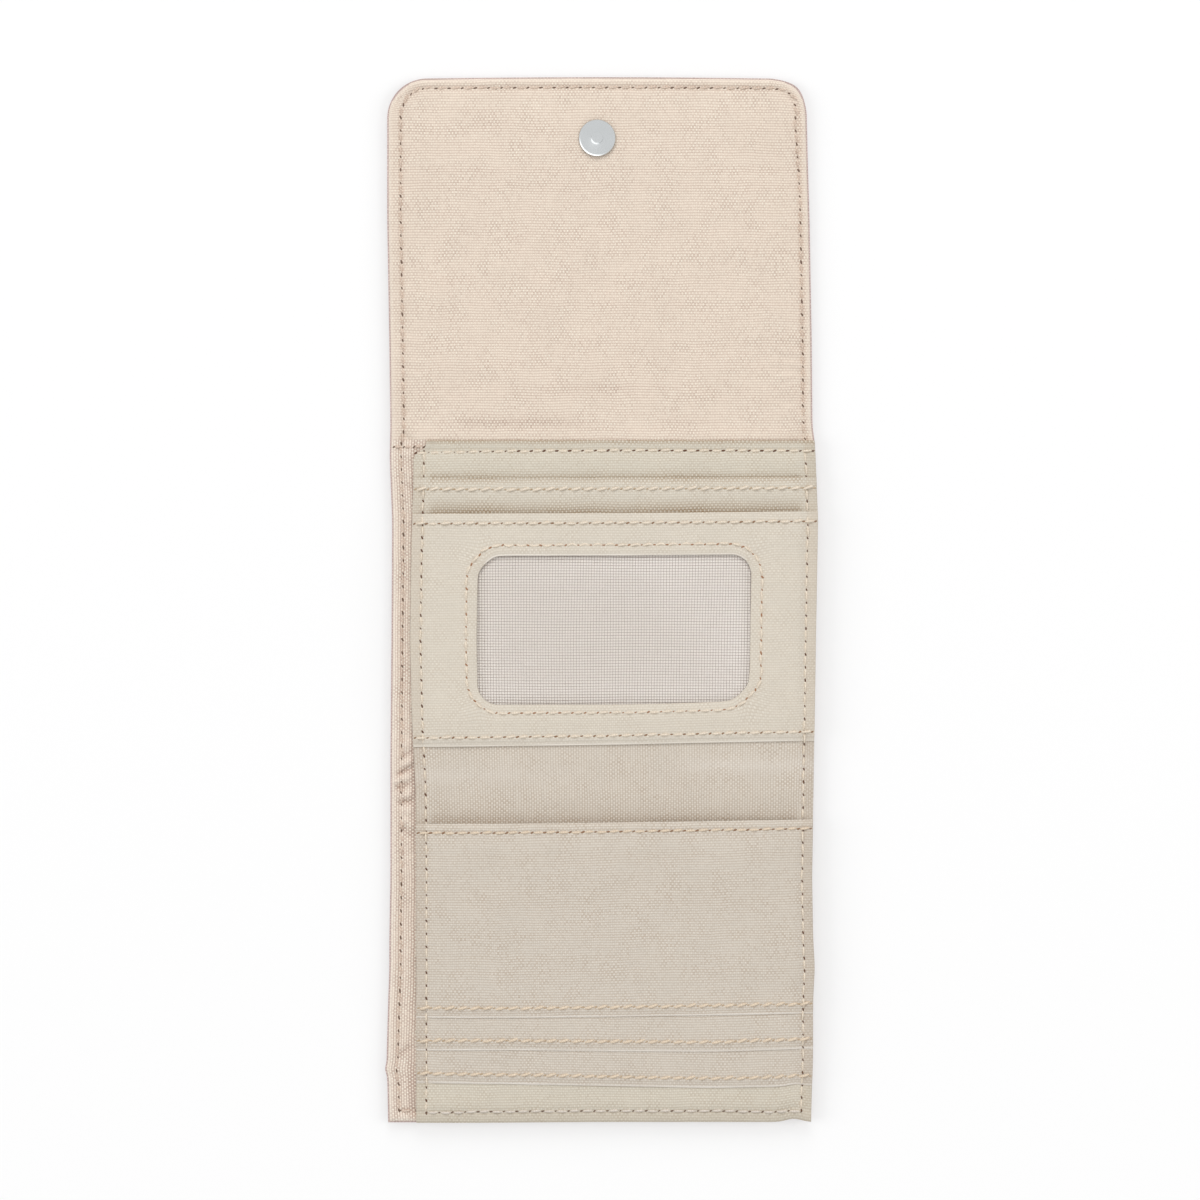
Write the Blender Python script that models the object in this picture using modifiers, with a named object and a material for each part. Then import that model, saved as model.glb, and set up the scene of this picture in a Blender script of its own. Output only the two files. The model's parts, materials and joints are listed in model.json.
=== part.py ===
"""A three-part fabric wallet lying open: flap, middle panel and lower panel.

The wallet lies face up with the flap towards +Y. The lower panel folds up over the
middle one, the flap folds down over both, and a magnetic snap holds it shut.
Lengths are in metres. The origin is under the middle of the open wallet.
"""

import math

import bmesh
import bpy
from mathutils import Vector

# Lengths of the open wallet along Y
FLAP_LENGTH = 0.1024
MIDDLE_LENGTH = 0.0965
LOWER_LENGTH = 0.0959

# The padded shell
SHELL_WIDTH = 0.1200
FLAP_SIDE_INSET = 0.0006
FLAP_CORNER_RADIUS = 0.0098
LOWER_CORNER_RADIUS = 0.0015
CLOTH = 0.0004
FOAM_THICKNESS = 0.0012
ROLLED_EDGE_WIDTH = 0.0016
ROLLED_EDGE_RADIUS = 0.0008
FLAP_HINGE_SETBACK = 0.0015

# The card panel: the lining that lies on the shell, and its seams
CARD_PANEL_INSET = 0.0068
LEFT_SEAM = 0.0031
RIGHT_SEAM = 0.0024
TOP_SEAM = 0.0030
BOTTOM_SEAM = 0.0033
NOTE_CLEAR_HEIGHT = 0.0010
CARD_CLEAR_HEIGHT = 0.0010
HEM_WIDTH = 0.0028
HEM_RISE = 0.0002
CLOSED_END_SEAM = 0.0028

# Pockets of the middle panel, measured down from the panel's top edge
REAR_MOUTH_DROP = 0.0106
ID_MOUTH_DROP = 0.0205
ID_POCKET_HEIGHT = 0.0655
ID_FRONT_THICKNESS = 0.0008
REAR_POCKET_END_INSET = 0.0014

# The window in the identity card pocket
WINDOW_LEFT_MARGIN = 0.0182
WINDOW_RIGHT_MARGIN = 0.0179
WINDOW_HEIGHT = 0.0421
WINDOW_RADIUS = 0.0056
WINDOW_DROP = 0.0118
MESH_THICKNESS = 0.0003
MESH_HEM = 0.0020
MESH_STRAND = 0.0011
MESH_COLUMNS = 16
MESH_ROWS = 9

# Pockets of the lower panel, measured down from the fold's centre
LOWER_POCKET_DROP = 0.0110
FRONT_POCKET_DEPTH = 0.0548
SLOT_STEP = 0.0099
POCKET_END_STEP = 0.0015

# The magnetic snap
SNAP_RADIUS = 0.00525
SNAP_RIM_RADIUS = 0.0003
SNAP_SIDE_OFFSET = -0.0015
SNAP_EDGE_DISTANCE = 0.0170
STUD_CAP_HEIGHT = 0.0011
STUD_CAP_WALL = 0.00045
NUB_RADIUS = 0.00165
NUB_HEIGHT = 0.0013
NUB_EDGE = 0.0004
NUB_DISH = 0.0002
SOCKET_HEIGHT = 0.0018
SOCKET_WALL = 0.00035
SOCKET_FACE = 0.0003
SOCKET_MOUTH_EDGE = 0.0002
MAGNET_THICKNESS = 0.0006
BASE_THICKNESS = 0.0003
PRONG_INNER = 0.0030
PRONG_THICKNESS = 0.00025
PRONG_WIDTH = 0.0024
PRONG_REACH = 0.0048
WASHER_RADIUS = 0.0050
WASHER_HOLE_RADIUS = 0.0012
WASHER_THICKNESS = 0.00025
WASHER_SEAT = 0.00025
CLINCH_GAP = 0.00015
CLINCH_CLEARANCE = 0.0002
SNAP_CLOSED_GAP = 0.0004

# Clearances, overruns and the counts of flats on round pieces
GAP = 0.0003
FOLDED_GAP = 0.0006
OVERRUN = 0.002
CORNER_STEPS = 7
ROUND_STEPS = 40
SMALL_ROUND_STEPS = 24
EDGE_SEGMENTS = 3
WELD = 0.00001

# Colours, as the 0 to 255 values of a screen
PEACH_CLOTH = (230, 212, 196)
TAUPE_LINING = (214, 205, 189)
PALE_FOAM = (236, 234, 228)
GREY_MESH = (208, 200, 192)
NICKEL = (208, 211, 211)
DARK_MAGNET = (92, 92, 96)

# Heights of the layers, from the table up
dimple_depth = (
    FOAM_THICKNESS + 2 * GAP - WASHER_SEAT - WASHER_THICKNESS
    - CLINCH_GAP - PRONG_THICKNESS - CLINCH_CLEARANCE
)
outer_low = SOCKET_HEIGHT + GAP - dimple_depth
outer_high = outer_low + CLOTH
foam_low = outer_high + GAP
foam_high = foam_low + FOAM_THICKNESS
facing_low = foam_high + GAP
shell_high = facing_low + CLOTH
lining_high = shell_high + NOTE_CLEAR_HEIGHT + CLOTH
rear_pocket_high = lining_high + CARD_CLEAR_HEIGHT + CLOTH
id_front_low = rear_pocket_high + CARD_CLEAR_HEIGHT
id_front_high = id_front_low + ID_FRONT_THICKNESS
card_layer = CARD_CLEAR_HEIGHT + CLOTH
lower_stack_high = lining_high + 3 * card_layer

# Places along Y
open_length = FLAP_LENGTH + MIDDLE_LENGTH + LOWER_LENGTH
top_y = open_length / 2
bottom_y = -top_y
panel_top_y = top_y - FLAP_LENGTH
fold_y = panel_top_y - MIDDLE_LENGTH
fold_spine_width = (id_front_high - lining_high) + (lower_stack_high - lining_high) + FOLDED_GAP
middle_hinge_y = fold_y + fold_spine_width / 2
lower_hinge_y = fold_y - fold_spine_width / 2
spine_hinge_y = panel_top_y + FLAP_HINGE_SETBACK
stud_high = shell_high + GAP + STUD_CAP_HEIGHT
closed_socket_z = lining_high + fold_spine_width + lining_high
flap_spine_width = closed_socket_z + SNAP_CLOSED_GAP + stud_high - 2 * shell_high
flap_hinge_y = spine_hinge_y + flap_spine_width

# Places along X
half_width = SHELL_WIDTH / 2
flap_half_width = half_width - FLAP_SIDE_INSET
card_left = -half_width + CARD_PANEL_INSET
card_right = half_width
pocket_left = card_left + LEFT_SEAM
pocket_right = card_right - RIGHT_SEAM

# The snap's two halves meet when both folds are shut
stud_y = top_y - SNAP_EDGE_DISTANCE
stud_to_hinge = stud_y - flap_hinge_y
stud_closed_y = spine_hinge_y - stud_to_hinge
socket_y = lower_hinge_y - (stud_closed_y - middle_hinge_y)


def start_clean():
    """Remove whatever the file holds before the wallet is modelled."""
    for old in list(bpy.data.objects):
        bpy.data.objects.remove(old, do_unlink=True)


def new_collection(name):
    group = bpy.data.collections.new(name)
    bpy.context.scene.collection.children.link(group)
    return group


def linear(value):
    """Turn one 0 to 255 screen value into a linear one."""
    share = value / 255
    if share <= 0.04045:
        return share / 12.92
    return ((share + 0.055) / 1.055) ** 2.4


def material(name, screen_colour, roughness, metallic=0.0):
    made = bpy.data.materials.new(name)
    made.use_nodes = True
    shader = made.node_tree.nodes["Principled BSDF"]
    colour = [linear(value) for value in screen_colour]
    shader.inputs["Base Color"].default_value = (*colour, 1.0)
    shader.inputs["Roughness"].default_value = roughness
    shader.inputs["Metallic"].default_value = metallic
    made.diffuse_color = (*colour, 1.0)
    return made


start_clean()
wallet = new_collection("wallet")
cutters = new_collection("cutters")
hinges = {}


def add_hinge(name, y, z, parent=None):
    """An empty on a fold line, which carries the pieces that turn about it."""
    empty = bpy.data.objects.new(name, None)
    wallet.objects.link(empty)
    empty.location = (0, y, z)
    if parent:
        empty.parent = hinges[parent]
        empty.location = Vector((0, y, z)) - world_place(hinges[parent])
    hinges[name] = empty


def world_place(empty):
    """Where an empty is in the world, from its own place and those above it."""
    place = Vector(empty.location)
    while empty.parent:
        empty = empty.parent
        place += Vector(empty.location)
    return place


def finish(piece, look, hinge=None):
    """Give a finished piece its material and hang it on its hinge."""
    piece.data.materials.clear()
    piece.data.materials.append(look)
    wallet.objects.link(piece)
    if hinge:
        piece.location = Vector(piece.location) - world_place(hinges[hinge])
        piece.parent = hinges[hinge]
    return piece


def as_cutter(piece):
    """Keep a piece out of the wallet and show it as a wire."""
    cutters.objects.link(piece)
    piece.hide_render = True
    piece.display_type = "WIRE"
    return piece


def box(name, low, high):
    """A block between two corners, with its origin at its centre."""
    size = [high[i] - low[i] for i in range(3)]
    centre = [(high[i] + low[i]) / 2 for i in range(3)]
    mesh = bpy.data.meshes.new(name)
    shape = bmesh.new()
    bmesh.ops.create_cube(shape, size=1.0)
    bmesh.ops.scale(shape, vec=size, verts=shape.verts)
    shape.to_mesh(mesh)
    shape.free()
    piece = bpy.data.objects.new(name, mesh)
    piece.location = centre
    return piece


def cylinder(name, radius, centre, z_low, z_high, steps):
    """An upright round bar between two heights."""
    mesh = bpy.data.meshes.new(name)
    shape = bmesh.new()
    bmesh.ops.create_cone(
        shape, cap_ends=True, segments=steps, radius1=radius, radius2=radius, depth=z_high - z_low
    )
    shape.to_mesh(mesh)
    shape.free()
    piece = bpy.data.objects.new(name, mesh)
    piece.location = (centre[0], centre[1], (z_low + z_high) / 2)
    return piece


def arc(centre_x, centre_y, radius, start, end):
    """Points of a round corner, from one angle in degrees to another."""
    points = []
    for step in range(CORNER_STEPS + 1):
        angle = math.radians(start + (end - start) * step / CORNER_STEPS)
        points.append((centre_x + radius * math.cos(angle), centre_y + radius * math.sin(angle)))
    return points


def rounded_rectangle(left, right, low, high, radius):
    return (
        arc(right - radius, high - radius, radius, 0, 90)
        + arc(left + radius, high - radius, radius, 90, 180)
        + arc(left + radius, low + radius, radius, 180, 270)
        + arc(right - radius, low + radius, radius, 270, 360)
    )


def open_end_outline(half, y_straight, y_round, radius):
    """A rectangle whose two corners at y_round are round."""
    side = 1 if y_round > y_straight else -1
    right_corner = arc(half - radius, y_round - side * radius, radius, 0, side * 90)
    left_corner = [(-x, y) for x, y in reversed(right_corner)]
    return right_corner + left_corner + [(-half, y_straight), (half, y_straight)]


TURNS = {
    "XY": (0, 0, 0),
    "XZ": (math.pi / 2, 0, 0),
    "YZ": (math.pi / 2, 0, math.pi / 2),
}


def extruded(name, outlines, thickness, centre, plane="XY"):
    """A flat outline given a thickness, as a mesh whose caps are whole faces."""
    curve = bpy.data.curves.new(name, "CURVE")
    curve.dimensions = "2D"
    curve.fill_mode = "BOTH"
    curve.extrude = thickness / 2
    for outline in outlines:
        spline = curve.splines.new("POLY")
        spline.points.add(len(outline) - 1)
        for point, (x, y) in zip(spline.points, outline):
            point.co = (x, y, 0, 1)
        spline.use_cyclic_u = True
    drawn = bpy.data.objects.new(name + "_outline", curve)
    drawn.rotation_euler = TURNS[plane]
    drawn.location = centre
    cutters.objects.link(drawn)
    bpy.context.view_layer.update()
    seen = drawn.evaluated_get(bpy.context.evaluated_depsgraph_get())
    mesh = bpy.data.meshes.new_from_object(seen)
    mesh.name = name
    shape = bmesh.new()
    shape.from_mesh(mesh)
    bmesh.ops.remove_doubles(shape, verts=shape.verts, dist=WELD)
    flat_angle = math.radians(1)
    bmesh.ops.dissolve_limit(
        shape, angle_limit=flat_angle, verts=shape.verts, edges=shape.edges
    )
    bmesh.ops.recalc_face_normals(shape, faces=shape.faces)
    shape.to_mesh(mesh)
    shape.free()
    piece = bpy.data.objects.new(name, mesh)
    piece.matrix_world = drawn.matrix_world.copy()
    bpy.data.objects.remove(drawn, do_unlink=True)
    return piece


def slab(name, outline, z_low, z_high):
    """A level sheet with the given outline between two heights."""
    return extruded(name, [outline], z_high - z_low, (0, 0, (z_low + z_high) / 2))


def cut(piece, tool, operation="DIFFERENCE"):
    change = piece.modifiers.new(operation.lower(), "BOOLEAN")
    change.operation = operation
    change.solver = "EXACT"
    change.object = tool
    return piece


def bevel_weights(piece):
    layer = piece.data.attributes.get("bevel_weight_edge")
    if layer is None:
        layer = piece.data.attributes.new("bevel_weight_edge", "FLOAT", "EDGE")
    return layer


def round_edges(piece, radius, chosen, segments):
    """Round the edges that the test `chosen` picks by their two ends."""
    layer = bevel_weights(piece)
    points = [vertex.co.copy() for vertex in piece.data.vertices]
    for edge in piece.data.edges:
        first, second = (points[i] for i in edge.vertices)
        layer.data[edge.index].value = 1.0 if chosen(first, second) else 0.0
    bevel = piece.modifiers.new("rounded", "BEVEL")
    bevel.limit_method = "WEIGHT"
    bevel.width = radius
    bevel.segments = segments
    return piece


def level_rim_edges(straight_ys):
    """A test for the level edges of a slab that don't lie on a fold line."""
    def chosen(first, second):
        if abs(first.z - second.z) > WELD:
            return False
        for y in straight_ys:
            if abs(first.y - y) < WELD and abs(second.y - y) < WELD:
                return False
        return True
    return chosen


def straight_shell(name, y_low, y_high, hinge, half):
    """The three layers of the shell where both ends run on into a fold."""
    low = y_low + GAP / 2
    high = y_high - GAP / 2
    outline = [(-half, low), (half, low), (half, high), (-half, high)]
    outer = slab(name + "_outer_fabric", outline, outer_low, shell_high)
    round_edges(outer, ROLLED_EDGE_RADIUS, level_rim_edges((low, high)), EDGE_SEGMENTS)
    inner = half - ROLLED_EDGE_WIDTH
    hollow = box(
        name + "_hollow",
        (-inner, low - OVERRUN, outer_high),
        (inner, high + OVERRUN, shell_high + OVERRUN),
    )
    cut(outer, as_cutter(hollow))
    edge = inner - GAP
    foam = box(name + "_foam", (-edge, low, foam_low), (edge, high, foam_high))
    facing = box(name + "_facing", (-edge, low, facing_low), (edge, high, shell_high))
    finish(outer, peach, hinge)
    finish(foam, foam_look, hinge)
    finish(facing, peach, hinge)
    return outer, foam, facing


def ended_shell(name, y_fold, y_end, radius, hinge, half):
    """The three layers of the shell that ends in a rolled free edge."""
    away = 1 if y_end > y_fold else -1
    fold = y_fold + away * GAP / 2
    outline = open_end_outline(half, fold, y_end, radius)
    outer = slab(name + "_outer_fabric", outline, outer_low, shell_high)
    round_edges(outer, ROLLED_EDGE_RADIUS, level_rim_edges((fold,)), EDGE_SEGMENTS)
    inner_radius = max(radius - ROLLED_EDGE_WIDTH, GAP)
    inner = half - ROLLED_EDGE_WIDTH
    inner_end = y_end - away * ROLLED_EDGE_WIDTH
    hollow_outline = open_end_outline(inner, fold - away * OVERRUN, inner_end, inner_radius)
    hollow = slab(name + "_hollow", hollow_outline, outer_high, shell_high + OVERRUN)
    cut(outer, as_cutter(hollow))
    edge_outline = open_end_outline(inner - GAP, fold, inner_end - away * GAP, inner_radius)
    foam = slab(name + "_foam", edge_outline, foam_low, foam_high)
    facing = slab(name + "_facing", edge_outline, facing_low, shell_high)
    finish(outer, peach, hinge)
    finish(foam, foam_look, hinge)
    finish(facing, peach, hinge)
    return outer, foam, facing


def lining(name, y_low, y_high, seam_low, seam_high, hinge):
    """A stretch of the banknote compartment's front, sewn down at its seams."""
    sheet_low = lining_high - CLOTH
    sheet = box(name, (card_left, y_low, shell_high + GAP), (card_right, y_high, lining_high))
    space_low = y_low + seam_low if seam_low else y_low - OVERRUN
    space_high = y_high - seam_high if seam_high else y_high + OVERRUN
    space = box(
        name + "_space",
        (card_left - OVERRUN, space_low, shell_high - OVERRUN),
        (pocket_right, space_high, sheet_low),
    )
    cut(sheet, as_cutter(space))
    return finish(sheet, taupe, hinge)


def hem_profile(y_mouth, y_end, low, high):
    """The side view of a pocket: a sheet with a raised hem along its mouth."""
    inward = -1 if y_mouth > y_end else 1
    hem_y = y_mouth + inward * HEM_WIDTH
    slope_y = hem_y + inward * HEM_RISE
    return [
        (y_end, low),
        (y_mouth, low),
        (y_mouth, high + HEM_RISE),
        (hem_y, high + HEM_RISE),
        (slope_y, high),
        (y_end, high),
    ]


def pocket(name, y_mouth, y_end, under, thickness, hinge, clear=CARD_CLEAR_HEIGHT):
    """A pocket sheet sewn on three sides, open at its mouth."""
    low = under + GAP
    high = under + clear + thickness
    width = card_right - card_left
    centre_x = (card_right + card_left) / 2
    profile = hem_profile(y_mouth, y_end, low, high)
    sheet = extruded(name, [profile], width, (centre_x, 0, 0), "YZ")
    outward = 1 if y_mouth > y_end else -1
    ends = sorted((y_end + outward * CLOSED_END_SEAM, y_mouth + outward * OVERRUN))
    space = box(
        name + "_space",
        (pocket_left, ends[0], low - OVERRUN),
        (pocket_right, ends[1], under + clear),
    )
    cut(sheet, as_cutter(space))
    finish(sheet, taupe, hinge)
    return sheet


def turned(name, profile, centre, steps):
    """A round piece from a profile that runs from the axis out and down."""
    mesh = bpy.data.meshes.new(name)
    mesh.from_pydata(
        [(x, 0, z) for x, z in profile], [(i, i + 1) for i in range(len(profile) - 1)], []
    )
    piece = bpy.data.objects.new(name, mesh)
    piece.location = centre
    turn = piece.modifiers.new("turned", "SCREW")
    turn.axis = "Z"
    turn.steps = steps
    turn.render_steps = steps
    turn.use_merge_vertices = True
    turn.merge_threshold = WELD
    turn.use_smooth_shade = True
    return piece


def ring_profile(points):
    """Close a profile that never reaches the axis."""
    return points + [points[0]]


def prong_base(name, radius, thickness, surface, side, centre, steps):
    """A round plate with two prongs that pass the cloth and fold over a washer.

    surface is the height of the cloth's outer face, and side is 1 where the plate
    lies above the cloth and -1 where it lies below.
    """
    x, y = centre
    near = surface + side * GAP
    far = near + side * thickness
    plate = cylinder(name, radius, centre, min(near, far), max(near, far), steps)
    behind = surface - side * (CLOTH + WASHER_SEAT + WASHER_THICKNESS + CLINCH_GAP)
    tip = behind - side * PRONG_THICKNESS
    root = near + side * thickness / 2
    outlines = []
    for hand in (-1, 1):
        inner = hand * PRONG_INNER
        outer = hand * (PRONG_INNER + PRONG_THICKNESS)
        reach = hand * PRONG_REACH
        outlines.append([
            (inner, root), (outer, root), (outer, behind),
            (reach, behind), (reach, tip), (inner, tip),
        ])
    prongs = extruded(name + "_prongs", outlines, PRONG_WIDTH, (x, y, 0), "XZ")
    cut(plate, as_cutter(prongs), "UNION")
    return plate


def slot_cutter(name, centre, z_low, z_high):
    """Two slots, a clearance wider than the prongs that pass them."""
    x, y = centre
    half = PRONG_WIDTH / 2 + GAP
    inner = PRONG_INNER - GAP
    outer = PRONG_INNER + PRONG_THICKNESS + GAP
    slots = []
    for hand in (-1, 1):
        ends = sorted((hand * inner, hand * outer))
        slots.append([(ends[0], -half), (ends[1], -half), (ends[1], half), (ends[0], half)])
    cutter = extruded(name, slots, z_high - z_low, (x, y, (z_low + z_high) / 2))
    return as_cutter(cutter)


def washer(name, surface, side, centre):
    """The slotted washer behind the cloth, which the prongs fold over."""
    near = surface - side * (CLOTH + WASHER_SEAT)
    far = near - side * WASHER_THICKNESS
    low, high = min(near, far), max(near, far)
    plate = cylinder(name, WASHER_RADIUS, centre, low, high, ROUND_STEPS)
    hole = cylinder(
        name + "_hole", WASHER_HOLE_RADIUS, centre, low - OVERRUN, high + OVERRUN, SMALL_ROUND_STEPS
    )
    cut(plate, as_cutter(hole))
    cut(plate, slot_cutter(name + "_slots", centre, low - OVERRUN, high + OVERRUN))
    return plate


def make_shell():
    """The padded shell, cut at its four fold lines."""
    flap_parts = ended_shell(
        "flap", flap_hinge_y, top_y, FLAP_CORNER_RADIUS, "flap_hinge", flap_half_width
    )
    straight_shell(
        "flap_spine", spine_hinge_y, flap_hinge_y, "flap_spine_hinge", flap_half_width
    )
    straight_shell("middle", middle_hinge_y, spine_hinge_y, None, half_width)
    straight_shell(
        "fold_spine", lower_hinge_y, middle_hinge_y, "fold_spine_hinge", half_width
    )
    lower_parts = ended_shell(
        "lower", lower_hinge_y, bottom_y, LOWER_CORNER_RADIUS, "lower_hinge", half_width
    )
    return flap_parts, lower_parts


def make_linings():
    """The banknote compartment's front, which runs on through the fold."""
    half_gap = GAP / 2
    lining(
        "middle_banknote_lining",
        middle_hinge_y + half_gap, panel_top_y, 0, TOP_SEAM, None,
    )
    lining(
        "fold_spine_lining",
        lower_hinge_y + half_gap, middle_hinge_y - half_gap, 0, 0, "fold_spine_hinge",
    )
    lining(
        "lower_banknote_lining",
        bottom_y, lower_hinge_y - half_gap, BOTTOM_SEAM, 0, "lower_hinge",
    )


def make_middle_pockets():
    """The rear card pocket and the identity card pocket with its window."""
    id_mouth_y = panel_top_y - ID_MOUTH_DROP
    id_end_y = id_mouth_y - ID_POCKET_HEIGHT
    pocket(
        "rear_card_pocket",
        panel_top_y - REAR_MOUTH_DROP, id_end_y + REAR_POCKET_END_INSET,
        lining_high, CLOTH, None,
    )
    front = pocket(
        "id_pocket_front", id_mouth_y, id_end_y, rear_pocket_high, ID_FRONT_THICKNESS, None
    )
    left = card_left + WINDOW_LEFT_MARGIN
    right = card_right - WINDOW_RIGHT_MARGIN
    high = id_mouth_y - WINDOW_DROP
    low = high - WINDOW_HEIGHT
    opening = slab(
        "window_opening",
        rounded_rectangle(left, right, low, high, WINDOW_RADIUS),
        rear_pocket_high, id_front_high + OVERRUN,
    )
    cut(front, as_cutter(opening))
    seat = MESH_HEM + GAP
    rebate_high = id_front_high - CLOTH
    rebate = box(
        "mesh_rebate",
        (left - seat, low - seat, rear_pocket_high),
        (right + seat, high + seat, rebate_high),
    )
    cut(front, as_cutter(rebate))
    make_mesh(left, right, low, high, rebate_high - GAP)


def make_mesh(left, right, low, high, z_high):
    """The window's net: a grid with its cells opened, given a thickness."""
    name = "id_window_mesh"
    width = right - left
    height = high - low
    mesh = bpy.data.meshes.new(name)
    shape = bmesh.new()
    bmesh.ops.create_grid(shape, x_segments=MESH_COLUMNS, y_segments=MESH_ROWS, size=0.5)
    bmesh.ops.scale(shape, vec=(width, height, 1.0), verts=shape.verts)
    cells = list(shape.faces)
    bmesh.ops.inset_individual(shape, faces=cells, thickness=MESH_STRAND / 2)
    bmesh.ops.delete(shape, geom=cells, context="FACES")
    border = [edge for edge in shape.edges if edge.is_boundary and on_border(edge, width, height)]
    grown = bmesh.ops.extrude_edge_only(shape, edges=border)
    rim = [item for item in grown["geom"] if isinstance(item, bmesh.types.BMVert)]
    for vertex in rim:
        vertex.co.x *= (width / 2 + MESH_HEM) / (width / 2)
        vertex.co.y *= (height / 2 + MESH_HEM) / (height / 2)
    shape.to_mesh(mesh)
    shape.free()
    net = bpy.data.objects.new(name, mesh)
    net.location = ((left + right) / 2, (low + high) / 2, z_high)
    wall = net.modifiers.new("thickness", "SOLIDIFY")
    wall.thickness = MESH_THICKNESS
    wall.offset = -1.0
    finish(net, mesh_look)


def on_border(edge, width, height):
    """Whether an edge of the net lies on its outer border."""
    first, second = (vertex.co for vertex in edge.verts)
    for axis, limit in ((0, width / 2), (1, height / 2)):
        if abs(abs(first[axis]) - limit) < WELD and abs(first[axis] - second[axis]) < WELD:
            return True
    return False


def make_lower_pockets():
    """Three overlapping card pockets whose mouths face the free edge."""
    names = ("card_pocket_back", "card_pocket_centre", "card_pocket_front")
    first_end_y = fold_y - LOWER_POCKET_DROP
    first_mouth_y = first_end_y - FRONT_POCKET_DEPTH
    for layer, name in enumerate(names):
        below_front = len(names) - 1 - layer
        pocket(
            name,
            first_mouth_y - below_front * SLOT_STEP,
            first_end_y - below_front * POCKET_END_STEP,
            lining_high + layer * card_layer, CLOTH, "lower_hinge",
        )


def make_stud(flap_parts):
    """The snap's male half on the flap's inner face."""
    centre = (SNAP_SIDE_OFFSET, stud_y)
    low = shell_high + GAP
    high = low + STUD_CAP_HEIGHT
    nub_high = high + NUB_HEIGHT
    recess_radius = SNAP_RADIUS - STUD_CAP_WALL
    recess_high = high - STUD_CAP_WALL
    profile = [
        (0, nub_high - NUB_DISH),
        (NUB_RADIUS - 2 * NUB_EDGE, nub_high - NUB_DISH),
        (NUB_RADIUS - NUB_EDGE - NUB_EDGE / 2, nub_high),
        (NUB_RADIUS - NUB_EDGE / 2, nub_high),
        (NUB_RADIUS, nub_high - NUB_EDGE),
        (NUB_RADIUS, high),
        (SNAP_RADIUS - SNAP_RIM_RADIUS, high),
        (SNAP_RADIUS - SNAP_RIM_RADIUS / 3, high - SNAP_RIM_RADIUS / 3),
        (SNAP_RADIUS, high - SNAP_RIM_RADIUS),
        (SNAP_RADIUS, low),
        (recess_radius, low),
        (recess_radius, recess_high),
        (0, recess_high),
    ]
    stud = turned("snap_stud", profile, (*centre, 0), ROUND_STEPS)
    finish(stud, nickel, "flap_hinge")
    plate_height = recess_high - GAP - low
    base = prong_base(
        "snap_stud_prongs", recess_radius - GAP, plate_height, shell_high, 1, centre, ROUND_STEPS
    )
    finish(base, nickel, "flap_hinge")
    finish(washer("snap_stud_washer", shell_high, 1, centre), nickel, "flap_hinge")
    _, foam, facing = flap_parts
    cut(facing, slot_cutter("facing_slots", centre, facing_low - OVERRUN, shell_high + OVERRUN))
    room = cylinder(
        "flap_foam_room", WASHER_RADIUS + GAP, centre,
        foam_low - OVERRUN, foam_high + OVERRUN, ROUND_STEPS,
    )
    cut(foam, as_cutter(room))


def make_socket(lower_parts):
    """The snap's magnetic half, drawn into the padding of the lower panel."""
    centre = (SNAP_SIDE_OFFSET, socket_y)
    mouth_radius = NUB_RADIUS + GAP
    inner_radius = SNAP_RADIUS - SOCKET_WALL
    case_profile = ring_profile([
        (inner_radius, SOCKET_HEIGHT),
        (SNAP_RADIUS, SOCKET_HEIGHT),
        (SNAP_RADIUS, SNAP_RIM_RADIUS),
        (SNAP_RADIUS - SNAP_RIM_RADIUS / 3, SNAP_RIM_RADIUS / 3),
        (SNAP_RADIUS - SNAP_RIM_RADIUS, 0),
        (mouth_radius + SOCKET_MOUTH_EDGE, 0),
        (mouth_radius, SOCKET_MOUTH_EDGE),
        (mouth_radius, SOCKET_FACE),
        (inner_radius, SOCKET_FACE),
    ])
    case = turned("snap_socket_case", case_profile, (*centre, 0), ROUND_STEPS)
    finish(case, nickel, "lower_hinge")
    magnet_radius = inner_radius - GAP
    magnet_low = SOCKET_FACE + GAP
    magnet_high = magnet_low + MAGNET_THICKNESS
    magnet_profile = ring_profile([
        (mouth_radius, magnet_high),
        (magnet_radius, magnet_high),
        (magnet_radius, magnet_low),
        (mouth_radius, magnet_low),
    ])
    magnet = turned("snap_magnet", magnet_profile, (*centre, 0), ROUND_STEPS)
    finish(magnet, magnet_look, "lower_hinge")
    surface = SOCKET_HEIGHT + GAP
    base = prong_base(
        "snap_socket_base", magnet_radius, BASE_THICKNESS, surface, -1, centre, ROUND_STEPS
    )
    finish(base, nickel, "lower_hinge")
    finish(washer("snap_socket_washer", surface, -1, centre), nickel, "lower_hinge")
    outer, foam, _ = lower_parts
    dimple_radius = SNAP_RADIUS + GAP
    bump_radius = dimple_radius + CLOTH
    bump = cylinder(
        "dimple_bump", bump_radius, centre, (outer_low + outer_high) / 2, surface + CLOTH, ROUND_STEPS
    )
    cut(outer, as_cutter(bump), "UNION")
    dimple = cylinder(
        "dimple", dimple_radius, centre, outer_low - OVERRUN, surface, ROUND_STEPS
    )
    cut(outer, as_cutter(dimple))
    cut(outer, slot_cutter("dimple_slots", centre, surface - CLOTH, surface + CLOTH + OVERRUN))
    room = cylinder(
        "lower_foam_room", bump_radius + GAP, centre,
        foam_low - OVERRUN, foam_high + OVERRUN, ROUND_STEPS,
    )
    cut(foam, as_cutter(room))


peach = material("peach_cloth", PEACH_CLOTH, 0.75)
taupe = material("taupe_lining", TAUPE_LINING, 0.6)
foam_look = material("pale_foam", PALE_FOAM, 0.9)
mesh_look = material("grey_mesh", GREY_MESH, 0.7)
nickel = material("nickel", NICKEL, 0.3, 1.0)
magnet_look = material("dark_magnet", DARK_MAGNET, 0.45, 0.6)

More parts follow.
